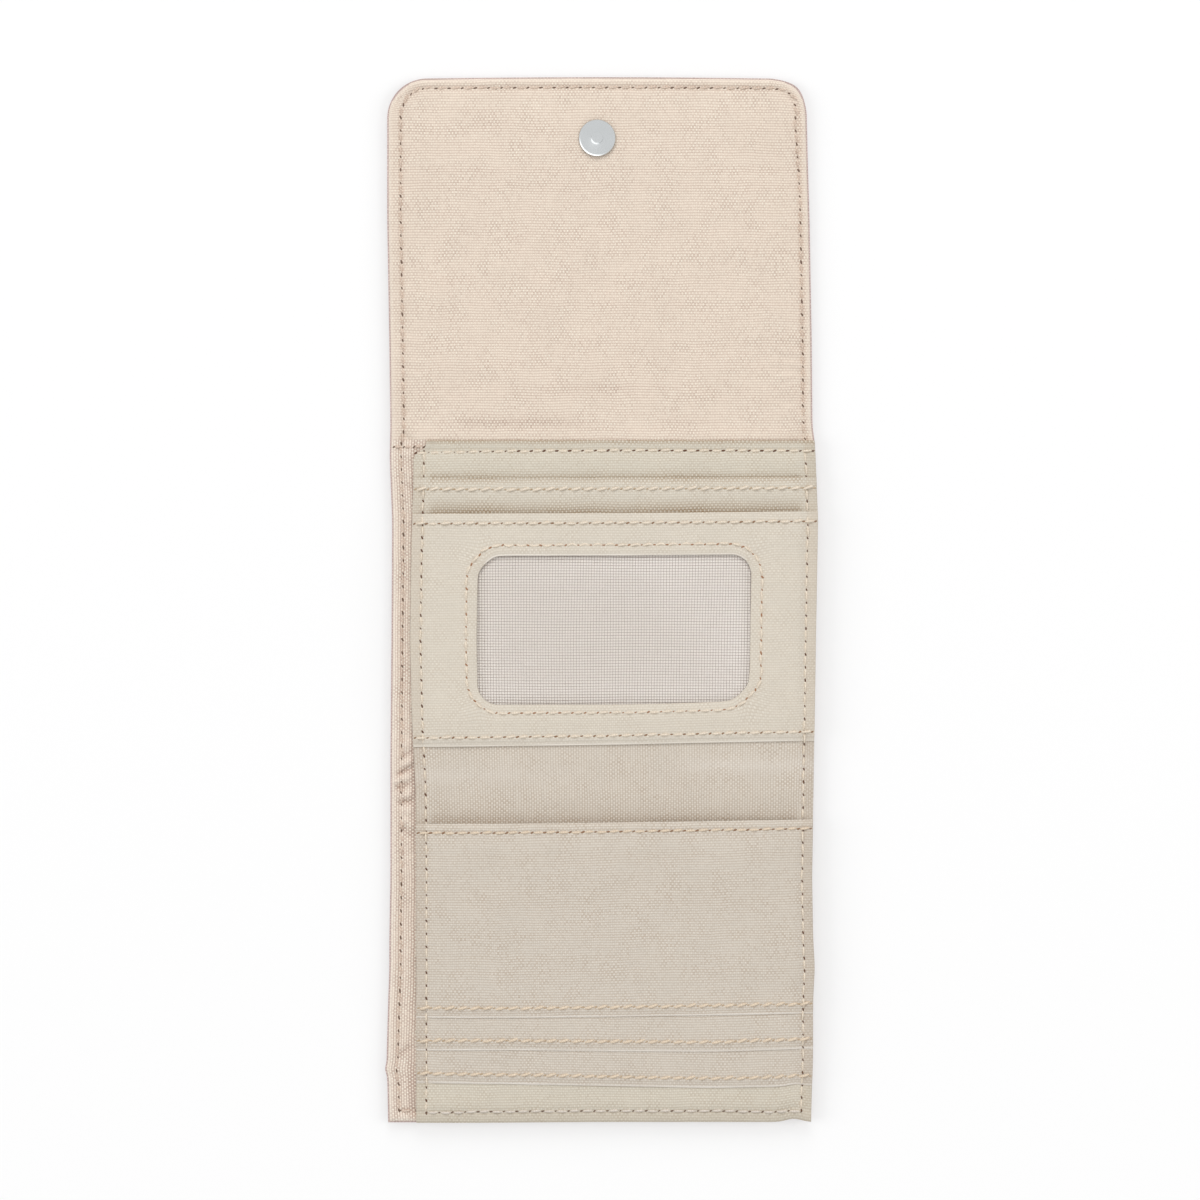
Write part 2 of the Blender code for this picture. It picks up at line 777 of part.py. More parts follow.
add_hinge("flap_spine_hinge", spine_hinge_y, shell_high)
add_hinge("flap_hinge", flap_hinge_y, shell_high, "flap_spine_hinge")
add_hinge("fold_spine_hinge", middle_hinge_y, lining_high)
add_hinge("lower_hinge", lower_hinge_y, lining_high, "fold_spine_hinge")

flap_layers, lower_layers = make_shell()
make_linings()
make_middle_pockets()
make_lower_pockets()
make_stud(flap_layers)
make_socket(lower_layers)
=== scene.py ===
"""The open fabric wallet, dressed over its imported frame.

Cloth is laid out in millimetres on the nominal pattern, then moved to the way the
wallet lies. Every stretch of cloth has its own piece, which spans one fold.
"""

import json
import math

import bmesh
import bpy
import numpy as np
from mathutils import Matrix, Vector


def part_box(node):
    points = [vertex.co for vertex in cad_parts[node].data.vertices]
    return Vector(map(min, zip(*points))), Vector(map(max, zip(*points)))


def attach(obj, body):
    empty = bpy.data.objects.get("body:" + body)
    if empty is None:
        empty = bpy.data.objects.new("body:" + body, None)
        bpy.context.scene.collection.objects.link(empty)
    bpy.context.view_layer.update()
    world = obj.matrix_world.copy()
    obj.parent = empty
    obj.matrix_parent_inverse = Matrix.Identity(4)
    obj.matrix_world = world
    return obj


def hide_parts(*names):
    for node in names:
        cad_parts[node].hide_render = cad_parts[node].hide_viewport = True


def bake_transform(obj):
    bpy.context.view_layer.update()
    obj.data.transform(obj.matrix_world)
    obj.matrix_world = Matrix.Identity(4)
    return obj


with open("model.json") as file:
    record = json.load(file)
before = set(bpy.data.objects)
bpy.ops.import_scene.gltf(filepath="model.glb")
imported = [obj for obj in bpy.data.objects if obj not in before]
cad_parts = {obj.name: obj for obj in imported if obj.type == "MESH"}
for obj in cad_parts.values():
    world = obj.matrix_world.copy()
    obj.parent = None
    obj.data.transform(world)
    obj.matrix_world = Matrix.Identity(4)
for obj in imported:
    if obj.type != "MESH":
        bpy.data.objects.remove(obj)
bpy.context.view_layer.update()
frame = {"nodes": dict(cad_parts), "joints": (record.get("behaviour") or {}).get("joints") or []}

MM = 0.001


def node_box(name):
    """A CAD node's lowest and highest corners, in millimetres."""
    low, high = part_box(name)
    return np.array(low) / MM, np.array(high) / MM


def fold_line(name):
    """The place of a joint along Y, and its height, in millimetres."""
    place = next(joint["pos_m"] for joint in frame["joints"] if joint["name"] == name)
    return place[1] / MM, place[2] / MM


# Places that come from the frame
FLAP_LOW, FLAP_HIGH = node_box("flap_outer_fabric")
HALF_WIDTH = node_box("lower_outer_fabric")[1][0]
BOTTOM_Y = node_box("lower_outer_fabric")[0][1]
TOP_Y = FLAP_HIGH[1]
SHELL_TOP = node_box("flap_facing")[1][2]
SHELL_BOTTOM = FLAP_LOW[2]
CARD_LEFT = node_box("middle_banknote_lining")[0][0]
PANEL_TOP = node_box("middle_banknote_lining")[1][1]
REAR_END, REAR_MOUTH = (corner[1] for corner in node_box("rear_card_pocket"))
ID_END, ID_MOUTH = (corner[1] for corner in node_box("id_pocket_front"))
FRONT_MOUTH, FRONT_END = (corner[1] for corner in node_box("card_pocket_front"))
CENTRE_MOUTH, CENTRE_END = (corner[1] for corner in node_box("card_pocket_centre"))
BACK_MOUTH, BACK_END = (corner[1] for corner in node_box("card_pocket_back"))
STUD_LOW, STUD_HIGH = node_box("snap_stud")
SOCKET_LOW, SOCKET_HIGH = node_box("snap_socket_case")
NECK_FOLD, FLAP_PIVOT = fold_line("flap_spine_fold")
FLAP_FOLD = fold_line("flap_fold")[0]
MIDDLE_FOLD, LOWER_PIVOT = fold_line("fold_spine_fold")
LOWER_FOLD = fold_line("lower_panel_fold")[0]

# Where the long cloths are divided, each inside a body that doesn't bend
FLAP_SPLIT = (NECK_FOLD + FLAP_FOLD) / 2
MIDDLE_SPLIT = 0.0
FOLD_SPLIT = (MIDDLE_FOLD + LOWER_FOLD) / 2

# The shell's rim and stitching, all in millimetres from here on
CORNER_RADIUS = 11.2
SEAM_HEIGHT = 2.7
ROLL_WIDTH = 1.3
PIPING = 0.35
PIPING_REACH = 6
LEFT_STITCH = 3.7
TOP_STITCH = 2.7
RIGHT_STITCH = 2.4
STRIP_STITCH = 3.0
TURNED_IN = 3.7
GROOVE_DEPTH = 0.38
GROOVE_WIDTH = 0.8
RIM_BAND_DROP = 0.3
RIM_SAG = 0.7
RIM_SAG_REACH = 22
PAD_GAP = 0.12

# The outer cloth's extra length over a fold, as a share of the depth that it wraps
FOLD_STRETCH = 1.45

# The card panel
CLOTH = 0.4
LINING_TOP = 5.1
LINING_LEFT_DROP = 0.35
LINING_RIGHT_DROP = 0.6
LINING_BOTTOM_DROP = 0.5
OUTER_SLOPE = 0.55
LINING_END_DROP = 0.4
CROWN = 0.5
CROWN_REACH = 26
LAYER_GAP = 0.1
REAR_LIFT = 0.15
ID_THICKNESS = 0.8
ID_LIFT = 0.35
LOWER_LIFT = 0.12
HEM = 2.8
HEM_RISE = 0.14
REAR_HEM = 3.1
FOLD_SOFTNESS = 0.3
CURL = 0.22
LEFT_SEAM = 2.9
RIGHT_SEAM = 2.9
BOTTOM_SEAM = 2.9
TOP_SEAM = 2.9
END_SEAM = 2.6
SEAM_REACH = 3.0
FOLD_DIP = 1.0
FOLD_DIP_REACH = 17.5
REAR_DIP = 0.4
ID_DIP = 0.75
PRESSED = 0.3
PRESSED_REACH = 1.8
CORNER_FOLD = 3.4

# The window
WINDOW_LEFT = -34.6
WINDOW_RIGHT = 41.9
WINDOW_HIGH = 12.5
WINDOW_LOW = -29.5
WINDOW_RADIUS = 5.8
WINDOW_X = (WINDOW_LEFT + WINDOW_RIGHT) / 2
WINDOW_Y = (WINDOW_LOW + WINDOW_HIGH) / 2
WINDOW_STRAIGHT_X = (WINDOW_RIGHT - WINDOW_LEFT) / 2 - WINDOW_RADIUS
WINDOW_STRAIGHT_Y = (WINDOW_HIGH - WINDOW_LOW) / 2 - WINDOW_RADIUS
WINDOW_HEM = 3.0
NET_MARGIN = 1.9
NET_PITCH = 0.765
NET_STRAND = 0.05

# Thread
STITCH_PITCH = 3.68
LINING_PITCH = 3.55
THREAD_RADIUS = 0.35
HEM_THREAD = 0.40
SIDE_THREAD = 0.28
SHELL_THREAD = 0.25

# The snap
STUD_DISC = 1.1
STUD_RIM = 0.6
SOCKET_RIM = 0.38

# Mesh spacing, the least thickness of a sheet, and the pattern's scale in its UV map
FINE = 0.8
COARSE = 1.6
THINNEST = 0.02
PATTERN_SCALE = 0.01

# Random hills: how many before they repeat, and where on them the wallet lies
HILLS = 97
HILLS_START = 300.5

# A measured edge is read every half millimetre and smoothed over this many readings
SMOOTHED = 12

# The camera, in metres
CAMERA_HEIGHT = 1.5
VIEW_WIDTH = 0.339

# Where the wallet's edges lie: place along Y, left edge, right edge
EDGE_PLACES = [
    (150.0, -60.9, 57.6), (136.0, -60.9, 57.8), (124.0, -60.9, 58.1), (107.0, -60.9, 58.6),
    (90.0, -60.6, 58.9), (73.0, -60.3, 59.2), (48.5, -60.0, 59.4), (45.5, -60.1, 60.0),
    (39.5, -60.2, 60.3), (22.5, -59.5, 60.9), (-11.5, -59.7, 60.3), (-45.0, -60.0, 59.8),
    (-79.0, -60.0, 59.2), (-96.0, -60.3, 59.5), (-104.5, -60.3, 60.0), (-113.0, -60.6, 59.5),
    (-130.0, -61.1, 59.5), (-138.5, -60.8, 59.2), (-150.0, -60.6, 58.9),
]

# Where the card panel's free edge lies: place along Y, left edge
PANEL_PLACES = [
    (50.0, -53.3), (34.0, -53.4), (10.0, -54.0), (-11.5, -54.3), (-35.0, -53.7),
    (-54.0, -52.8), (-75.0, -52.5), (-150.0, -52.6),
]

# Creases: where each starts and ends, its reach and its height. First the ones that cross
# the flap's side seams, then the strip's gathers, then the hanging lining's soft folds
FLAP_CREASES = (
    (49.5, 70.6, 58.8, 69.2, 0.9, 0.30),
    (48.0, 67.2, 58.8, 66.0, 1.0, 0.34),
    (48.5, 63.4, 59.0, 62.6, 0.9, 0.30),
    (51.0, 57.6, 57.5, 54.4, 2.4, -0.34),
    (52.5, 74.5, 58.5, 73.6, 0.9, 0.18),
    (-58.0, 68.4, -49.0, 66.2, 1.0, 0.26),
    (-58.0, 64.4, -50.0, 63.0, 0.9, 0.24),
    (-58.0, 73.4, -51.0, 72.4, 1.0, 0.16),
    (-57.0, 53.0, -50.0, 50.5, 1.8, -0.2),
)
STRIP_CREASES = (
    (-57.0, -41.6, -53.6, -40.2, 0.6, 0.40),
    (-57.2, -44.6, -53.2, -42.6, 0.6, -0.55),
    (-57.0, -47.0, -53.2, -45.2, 0.8, 0.80),
    (-58.6, -49.6, -53.2, -46.9, 0.55, -0.85),
    (-59.2, -51.6, -53.4, -49.6, 0.7, 0.70),
    (-59.2, -53.6, -54.6, -52.2, 0.5, -0.70),
    (-57.4, -56.0, -53.4, -54.6, 0.8, 0.75),
    (-58.8, -57.6, -53.4, -56.9, 0.5, -0.60),
    (-57.0, -60.0, -53.4, -59.4, 0.9, 0.50),
    (-56.6, -62.0, -53.2, -64.6, 0.7, 0.60),
    (-57.4, -64.6, -53.2, -66.9, 0.6, -0.50),
    (-56.8, -68.6, -53.4, -69.6, 0.7, 0.30),
    (-57.6, 46.4, -52.6, 44.6, 0.5, -0.60),
    (-57.2, 42.0, -54.0, 40.2, 0.7, 0.35),
    (-56.4, 36.2, -53.4, 34.6, 0.7, 0.50),
    (-56.6, 32.6, -53.6, 31.6, 0.6, -0.30),
    (-57.0, -129.5, -53.0, -126.0, 0.8, -0.45),
)
HANGING_CREASES = (
    (20.0, -44.0, 54.0, -47.0, 2.6, 0.13),
    (-44.0, -50.5, 30.0, -52.5, 3.2, -0.10),
    (30.0, -57.5, 56.0, -53.0, 2.4, 0.12),
    (-50.0, -46.0, -30.0, -54.0, 2.2, -0.10),
)


def smooth_line(places, column, y):
    """A soft curve through measured places, read at y."""
    knots = np.array(sorted((place[0], place[column]) for place in places))
    dense = np.arange(knots[0, 0] - 20, knots[-1, 0] + 20, 0.5)
    values = np.interp(dense, knots[:, 0], knots[:, 1])
    weight = np.exp(-(np.arange(-SMOOTHED, SMOOTHED + 1) / 5.0) ** 2)
    values = np.pad(values, SMOOTHED, mode="edge")
    values = np.convolve(values, weight / weight.sum(), mode="valid")
    return np.interp(y, dense, values)


def lie_of_shell(x, y):
    """Move a point of the shell from the pattern to where the wallet lies."""
    left = smooth_line(EDGE_PLACES, 1, y)
    right = smooth_line(EDGE_PLACES, 2, y)
    share = (x + HALF_WIDTH) / (2 * HALF_WIDTH)
    left = left - 0.5 * bump(y, -132.8, 1.6) * ramp(x, -50, -58)
    arc = CORNER_RADIUS * (1 - math.sqrt(0.5))
    squarer = 0.7 * np.exp(-(np.hypot(x - HALF_WIDTH + arc, y - TOP_Y + arc) / 4.5) ** 2)
    rounder = 0.42 * np.clip(1 - (x / 52) ** 2, 0, 1) * ramp(y, TOP_Y - 11, TOP_Y)
    new_y = y + bottom_edge_lift(x, y) + squarer + rounder
    return left + share * (right - left) + squarer, new_y


def lie_of_panel(x, y):
    """Move a point of the card panel from the pattern to where it lies."""
    left = smooth_line(PANEL_PLACES, 1, y)
    right = smooth_line(EDGE_PLACES, 2, y)
    share = (x - CARD_LEFT) / (HALF_WIDTH - CARD_LEFT)
    return left + share * (right - left), y + bottom_edge_lift(x, y)


def lie_of_lining(x, y):
    """The lining's upper left corner is folded away under the flap's cloth."""
    new_x, new_y = lie_of_panel(x, y)
    return new_x + corner_fold(y) * (1 - ramp(x, CARD_LEFT, CARD_LEFT + 7)), new_y


def corner_fold(y):
    """How far the lining's upper left corner is folded in."""
    return CORNER_FOLD * ramp(y, PANEL_TOP - 5, PANEL_TOP - 1.4)


def lie_of_window_pocket(x, y):
    """The window's corners and lower edge aren't quite regular."""
    new_x, new_y = lie_of_panel(x, y)
    near_low_right = np.exp(-np.hypot(x - WINDOW_RIGHT + 1.5, y - WINDOW_LOW - 1.5) ** 2 / 22)
    near_top_left = np.exp(-np.hypot(x - WINDOW_LEFT - 1.5, y - WINDOW_HIGH + 1.5) ** 2 / 14)
    lift = 0.55 * ramp(x, 5, 42) * bump(y, WINDOW_LOW, 7)
    lift = lift + (0.95 * ramp(x, CARD_LEFT, HALF_WIDTH) - 0.35) * ramp(y, -28, ID_END)
    new_x = new_x - 0.8 * near_low_right + 0.5 * near_top_left - 0.35 * bump(x, WINDOW_RIGHT, 6)
    return new_x, new_y + 0.8 * near_low_right - 0.5 * near_top_left + lift


def bottom_edge_lift(x, y):
    """The bottom edge isn't quite straight: it rises towards the right corner."""
    rise = 0.25 * ramp(x, -45, 5) + 0.9 * np.exp(-((x - 55) / 3.0) ** 2)
    return rise * ramp(y, BOTTOM_Y + 22, BOTTOM_Y + 2) - 0.5 * ramp(y, BOTTOM_Y + 6, BOTTOM_Y)


def ease(share):
    share = np.clip(share, 0, 1)
    return share * share * (3 - 2 * share)


def ramp(value, start, end):
    """0 before start, 1 after end, and soft in between."""
    return ease((value - start) / (end - start))


def least(*values):
    """The smallest of several values at each point."""
    smallest = values[0]
    for value in values[1:]:
        smallest = np.minimum(smallest, value)
    return smallest


def bump(value, centre, reach):
    """1 at a centre, dying out softly at a reach to both sides."""
    return np.exp(-(((value - centre) / reach) ** 2))


def drift(x, y, size, seed):
    """Soft random hills, from about -1 to 1, of a given size."""
    table = np.random.default_rng(seed).uniform(-1, 1, (HILLS, HILLS))
    u, v = x / size + HILLS_START, y / size + HILLS_START
    i, j = np.floor(u).astype(int), np.floor(v).astype(int)
    fu, fv = ease(u - i), ease(v - j)
    low, high = (
        table[i % HILLS, row % HILLS] * (1 - fu) + table[(i + 1) % HILLS, row % HILLS] * fu
        for row in (j, j + 1)
    )
    return low * (1 - fv) + high * fv


def pucker(along, across, reach, height, pitch, seed):
    """The small ripples that a row of stitches draws into cloth."""
    uneven = 0.65 + 0.35 * drift(along, along * 0, 9.0, seed)
    wave = np.cos(2 * math.pi * along / pitch)
    return height * uneven * wave * np.exp(-((across / reach) ** 2))


def crease(x, y, x0, y0, x1, y1, reach, height):
    """One straight crease between two points, dying out at its ends."""
    length = math.hypot(x1 - x0, y1 - y0)
    ux, uy = (x1 - x0) / length, (y1 - y0) / length
    along = (x - x0) * ux + (y - y0) * uy
    across = (y - y0) * ux - (x - x0) * uy
    inside = ramp(along, -length * 0.15, length * 0.25) * ramp(along, length * 1.15, length * 0.75)
    return height * inside * np.exp(-((across / reach) ** 2))


def creases(x, y, rows):
    """Several creases, each with its start, end, reach and height."""
    return sum(crease(x, y, *row) for row in rows)


def edge_roll(distance, width, drop):
    """How far a surface has rolled over at a distance from its edge."""
    share = np.clip(1 - distance / width, 0, 1)
    return drop * (1 - np.sqrt(np.maximum(1 - share**2, 0)))


# The shell's shape

def past_corner(x, y):
    """How far along X and Y a place lies past the start of the flap's round corners."""
    return np.abs(x) - (HALF_WIDTH - CORNER_RADIUS), y - (TOP_Y - CORNER_RADIUS)


def rim_distance(x, y):
    """How far a point of the pattern lies inside the shell's edge."""
    side = HALF_WIDTH - np.abs(x)
    top = TOP_Y - y
    straight = least(side, top, y - BOTTOM_Y)
    corner_x, corner_y = past_corner(x, y)
    in_corner = (corner_x > 0) & (corner_y > 0)
    return np.where(in_corner, CORNER_RADIUS - np.hypot(corner_x, corner_y), straight)


def round_corners(x, y):
    """Turn the square corners of the flap's grid into round ones."""
    corner_x, corner_y = past_corner(x, y)
    inside = (corner_x > 0) & (corner_y > 0)
    a = np.clip(corner_x / CORNER_RADIUS, 0, 1)
    b = np.clip(corner_y / CORNER_RADIUS, 0, 1)
    new_x = (HALF_WIDTH - CORNER_RADIUS) + CORNER_RADIUS * a * np.sqrt(1 - b * b / 2)
    new_y = (TOP_Y - CORNER_RADIUS) + CORNER_RADIUS * b * np.sqrt(1 - a * a / 2)
    return np.where(inside, np.sign(x) * new_x, x), np.where(inside, new_y, y)


def stitch_inset(x, y):
    """How far inside the edge the shell's stitches run at a place."""
    on_body = ramp(y, NECK_FOLD + 1, NECK_FOLD - 3)
    left = LEFT_STITCH + (STRIP_STITCH - LEFT_STITCH) * on_body
    side = np.where(x < 0, left, RIGHT_STITCH)
    nearer_top = ramp((HALF_WIDTH - np.abs(x)) - (TOP_Y - y), -3, 3)
    nearer_bottom = ramp((HALF_WIDTH - np.abs(x)) - (y - BOTTOM_Y), -3, 3)
    side = side + (BOTTOM_SEAM - side) * nearer_bottom
    return side + (TOP_STITCH - side) * nearer_top


def side_droop(x, y):
    """The shell's rims rest lower than its padded middle."""
    distance = np.maximum(rim_distance(x, y), 0)
    return RIM_SAG * (1 - ramp(distance, 0, RIM_SAG_REACH))


def seat_at(x, y, corner_low, corner_high, reach):
    """1 beside one half of the snap and 0 away from it."""
    centre_x = (corner_low[0] + corner_high[0]) / 2
    centre_y = (corner_low[1] + corner_high[1]) / 2
    radius = (corner_high[0] - corner_low[0]) / 2
    return 1 - ramp(np.hypot(x - centre_x, y - centre_y), radius + 0.3, radius + reach)


def shell_waves(x, y):
    """The broad unevenness of the padded shell."""
    calm = 1 - seat_at(x, y, STUD_LOW, STUD_HIGH, 12)
    broad = 0.16 * drift(x, y, 30, 11) + 0.07 * drift(x, y, 11, 12)
    return calm * broad * ramp(rim_distance(x, y), 2, 12)


def flap_creases(x, y):
    """Creases that cross the flap's side seams beside the fold."""
    across = 0.14 * bump(y, FLAP_FOLD - 1.5, 3.5) + 0.10 * bump(y, NECK_FOLD + 5, 3.0)
    return creases(x, y, FLAP_CREASES) - across * drift(x, y * 0, 22, 15)


def strip_creases(x, y):
    """Gathers in the facing beside the card panel, most of them at the fold."""
    along = 0.14 * drift(x * 0, y, 3.2, 21) + 0.12 * drift(x * 0, y, 9.0, 22)
    return creases(x, y, STRIP_CREASES) + along * bump(x, -55.0, 1.8)


def shell_top(x, y):
    """Height of the shell's facing, seams and puckers included."""
    distance = rim_distance(x, y)
    stitch = stitch_inset(x, y)
    band = SHELL_TOP - RIM_BAND_DROP * (1 - ramp(distance, 2.5, 11))
    groove_width = np.where(distance < stitch, GROOVE_WIDTH * 0.8, GROOVE_WIDTH * 1.25)
    groove = GROOVE_DEPTH * np.exp(-(((distance - stitch) / groove_width) ** 2))
    roll = edge_roll(distance, ROLL_WIDTH, band - SEAM_HEIGHT - 0.05)
    along = np.where(np.abs(x) + CORNER_RADIUS > HALF_WIDTH, y, x)
    along = np.where(y < TOP_Y - CORNER_RADIUS, y, along)
    ripple = pucker(along, distance - stitch, 2.6, 0.07, STITCH_PITCH, 31)
    height = band - groove - roll + ripple * ramp(distance, 0.3, 1.5)
    inner = CARD_LEFT + 1.0 + corner_fold(y)
    covered = ramp(x, inner, inner + 3.0) * ramp(y, PANEL_TOP + 0.5, PANEL_TOP - 3)
    crossing = flap_creases(x, y) + strip_creases(x, y)
    height = height + (shell_waves(x, y) + crossing) * (1 - covered) - 0.1 * covered
    beside = 3 * ramp(x, CARD_LEFT + 0.2, CARD_LEFT - 2.5) + 3 * ramp(y, PANEL_TOP, PANEL_TOP + 2.5)
    height = np.minimum(height, lining_base(x, y) - CLOTH - PAD_GAP + beside)
    rise = 0.35 * bump(y, PANEL_TOP + 1.0, 2.2) * ramp(distance, 4, 9)
    return height + rise * (1 - covered) - side_droop(x, y)


def shell_back(x, y):
    """Height of the outer cloth's lower face."""
    distance = rim_distance(x, y)
    roll = edge_roll(distance, ROLL_WIDTH + PIPING, SEAM_HEIGHT - SHELL_BOTTOM)
    groove = 0.3 * np.exp(-(((distance - stitch_inset(x, y)) / GROOVE_WIDTH) ** 2))
    dimple = (SOCKET_HIGH[2] + 0.3 - SHELL_BOTTOM) * seat_at(x, y, SOCKET_LOW, SOCKET_HIGH, 1.9)
    waves = 0.10 * drift(x, y, 26, 41) * ramp(distance, 3, 12)
    lift = np.maximum(waves, -0.08) + dimple
    return SHELL_BOTTOM + roll + groove + lift - side_droop(x, y)


# The card panel's layers

def from_left(x):
    return x - CARD_LEFT


def from_right(x):
    return HALF_WIDTH - x


def open_share(x):
    """0 over the side seams of the card panel and 1 between them."""
    left = ramp(from_left(x), LEFT_SEAM + 0.3, LEFT_SEAM + SEAM_REACH)
    right = ramp(from_right(x), RIGHT_SEAM + 0.3, RIGHT_SEAM + SEAM_REACH)
    return left * right


def lining_calm(x, y):
    """Height of the lining where nothing pulls it down."""
    left = LINING_LEFT_DROP * (1 - ramp(from_left(x), 1.5, 6))
    right = LINING_RIGHT_DROP * (1 - ramp(from_right(x), RIGHT_SEAM - 0.4, RIGHT_SEAM + 2.8))
    bottom = LINING_BOTTOM_DROP * (1 - ramp(y - BOTTOM_Y, BOTTOM_SEAM - 0.6, BOTTOM_SEAM + 2.4))
    top = LINING_END_DROP * (1 - ramp(PANEL_TOP - y, 2.8, 6.5))
    sunk = np.maximum(np.maximum(right, bottom), np.maximum(top, left))
    inward = least(from_left(x), from_right(x), PANEL_TOP - y, y - BOTTOM_Y)
    crown = CROWN * ramp(inward, 0, CROWN_REACH)
    waves = 0.08 * drift(x, y, 24, 51) * open_share(x)
    outer = edge_roll(np.minimum(from_right(x), y - BOTTOM_Y), 1.2, 0.5)
    beyond = np.minimum(from_right(x) / RIGHT_SEAM, (y - BOTTOM_Y) / BOTTOM_SEAM)
    outer = outer + OUTER_SLOPE * (1 - ramp(beyond, -0.4, 1.1))
    return LINING_TOP + crown - sunk - outer + waves


def dip_before(y, edge, reach, steepness, hidden):
    """0 to 1: cloth sinks faster and faster towards a pocket's edge, then rises under it."""
    share = np.clip((edge + reach - y) / reach, 0, 1)
    return share**steepness * ramp(y, edge - hidden, edge - 0.2)


def lining_dips(x, y):
    """How far the under layers sink beside the edges of the pockets on top of them."""
    at_fold = dip_before(y, FRONT_END, FOLD_DIP_REACH, 1.0, 6.0) * 0.25
    at_fold = at_fold + dip_before(y, FRONT_END, FOLD_DIP_REACH, 5.0, 6.0) * 0.75
    uneven = 1 + 0.12 * drift(x, y * 0, 21, 52)
    fold = FOLD_DIP * at_fold * uneven
    rear = REAR_DIP * dip_before(y, REAR_MOUTH, 3.6, 2.4, 2.5)
    window_pocket = ID_DIP * dip_before(y, ID_MOUTH, 6.0, 2.0, 3.0)
    return (fold + rear + window_pocket) * (0.1 + 0.9 * open_share(x))


def lining_base(x, y):
    """Height of the lining without its own small puckers."""
    return lining_calm(x, y) - lining_dips(x, y)


def seam_ripples(x, y, seed):
    """Puckers along the card panel's left and right seams."""
    left = pucker(y, from_left(x) - LEFT_SEAM, 2.2, 0.05, LINING_PITCH, seed)
    right = pucker(y, from_right(x) - RIGHT_SEAM, 2.4, 0.06, LINING_PITCH, seed + 1)
    return left + right


def side_grooves(x):
    """The grooves that the side seams press into every layer."""
    left = 0.12 * bump(from_left(x), LEFT_SEAM, 0.6)
    right = 0.14 * bump(from_right(x), RIGHT_SEAM, 0.6)
    return left + right


def seam_across(x, y, place, depth, width, reach, height, seed):
    """The groove and the puckers of a seam that runs across the card panel."""
    return pucker(x, y - place, reach, height, LINING_PITCH, seed) - depth * bump(y, place, width)


def hem_and_seam(x, y, seam, side, depth, height, seed):
    """A hem's doubled cloth beside the seam that holds it: above it for side 1, below for -1."""
    rise = HEM_RISE * ramp(side * (y - seam), -0.4, 0.1)
    return rise + seam_across(x, y, seam, depth, 0.45, 1.8, height, seed)


def lining_top(x, y):
    """Height of the banknote compartment's front, with its seams."""
    height = lining_base(x, y) + seam_ripples(x, y, 61) - side_grooves(x)
    height = height + seam_across(x, y, PANEL_TOP - TOP_SEAM, 0.28, 0.7, 2.2, 0.05, 63)
    height = height + seam_across(x, y, BOTTOM_Y + BOTTOM_SEAM, 0.16, 0.6, 1.8, 0.05, 64)
    return height + hanging_folds(x, y)


def hanging_folds(x, y):
    """Soft folds where the lining hangs between the two panels."""
    share = ramp(y, ID_END + 1, ID_END - 5) * ramp(y, FRONT_END - 2, FRONT_END + 4)
    return share * (creases(x, y, HANGING_CREASES) + 0.07 * drift(x, y * 2.5, 16, 71))


def pocket_lift(x, y, end_y, reach):
    """0 at a pocket's closed end and side seams, 1 in its middle."""
    from_end = np.abs(y - end_y)
    return open_share(x) * ramp(from_end, END_SEAM + 0.4, END_SEAM + reach)


def rear_base(x, y, dips=1.0):
    """Height of the rear pocket without its seams, with all or part of the lining's dips."""
    clear = LAYER_GAP + REAR_LIFT * open_share(x)
    return lining_calm(x, y) - dips * lining_dips(x, y) + CLOTH + clear


def rear_top(x, y):
    """Height of the rear card pocket, dipping under the pocket in front of it."""
    hem = hem_and_seam(x, y, REAR_MOUTH - REAR_HEM, 1, 0.12, 0.04, 73)
    return rear_base(x, y) + seam_ripples(x, y, 75) - side_grooves(x) + hem


def id_base(x, y):
    """Height of the window pocket without its seams and its window."""
    lift = pocket_lift(x, y, ID_END, 5)
    over_rear = (CLOTH + LAYER_GAP) * ramp(y, REAR_END + 1.2, REAR_END - 0.9)
    return rear_base(x, y, 0.0) + ID_THICKNESS + LAYER_GAP + ID_LIFT * lift - over_rear


def id_top(x, y):
    """Height of the pocket with the window."""
    seams = hem_and_seam(x, y, ID_MOUTH - HEM, 1, 0.14, 0.04, 81)
    seams = seams + seam_across(x, y, ID_END + END_SEAM, 0.16, 0.5, 2.0, 0.05, 82)
    ring = window_distance(x, y)
    ring_groove = 0.14 * bump(ring, window_hem(y), 0.5)
    curl = CURL * ramp(ring, 2.4, 0.0) * ramp(y, WINDOW_HIGH - 3, WINDOW_HIGH)
    curl = curl - PRESSED * ramp(ring, PRESSED_REACH, 0.1) - 0.2 * ramp(y, ID_MOUTH - 2.2, ID_MOUTH)
    curl = curl - 0.34 * ramp(y, ID_END + 1.8, ID_END)
    waves = 0.05 * drift(x, y, 17, 83) * open_share(x)
    base = id_base(x, y) + seam_ripples(x, y, 85) - side_grooves(x)
    return base + seams - ring_groove + curl + waves


def window_hem(y):
    """The ring of stitches runs nearer to the window's lower edge."""
    return WINDOW_HEM - 0.7 * ramp(y, WINDOW_LOW + 6, WINDOW_LOW)


def window_distance(x, y):
    """How far a point lies outside the window's opening; less than 0 inside it."""
    dx = np.abs(x - WINDOW_X) - WINDOW_STRAIGHT_X
    dy = np.abs(y - WINDOW_Y) - WINDOW_STRAIGHT_Y
    outside = np.hypot(np.maximum(dx, 0), np.maximum(dy, 0))
    return outside + np.minimum(np.maximum(dx, dy), 0) - WINDOW_RADIUS


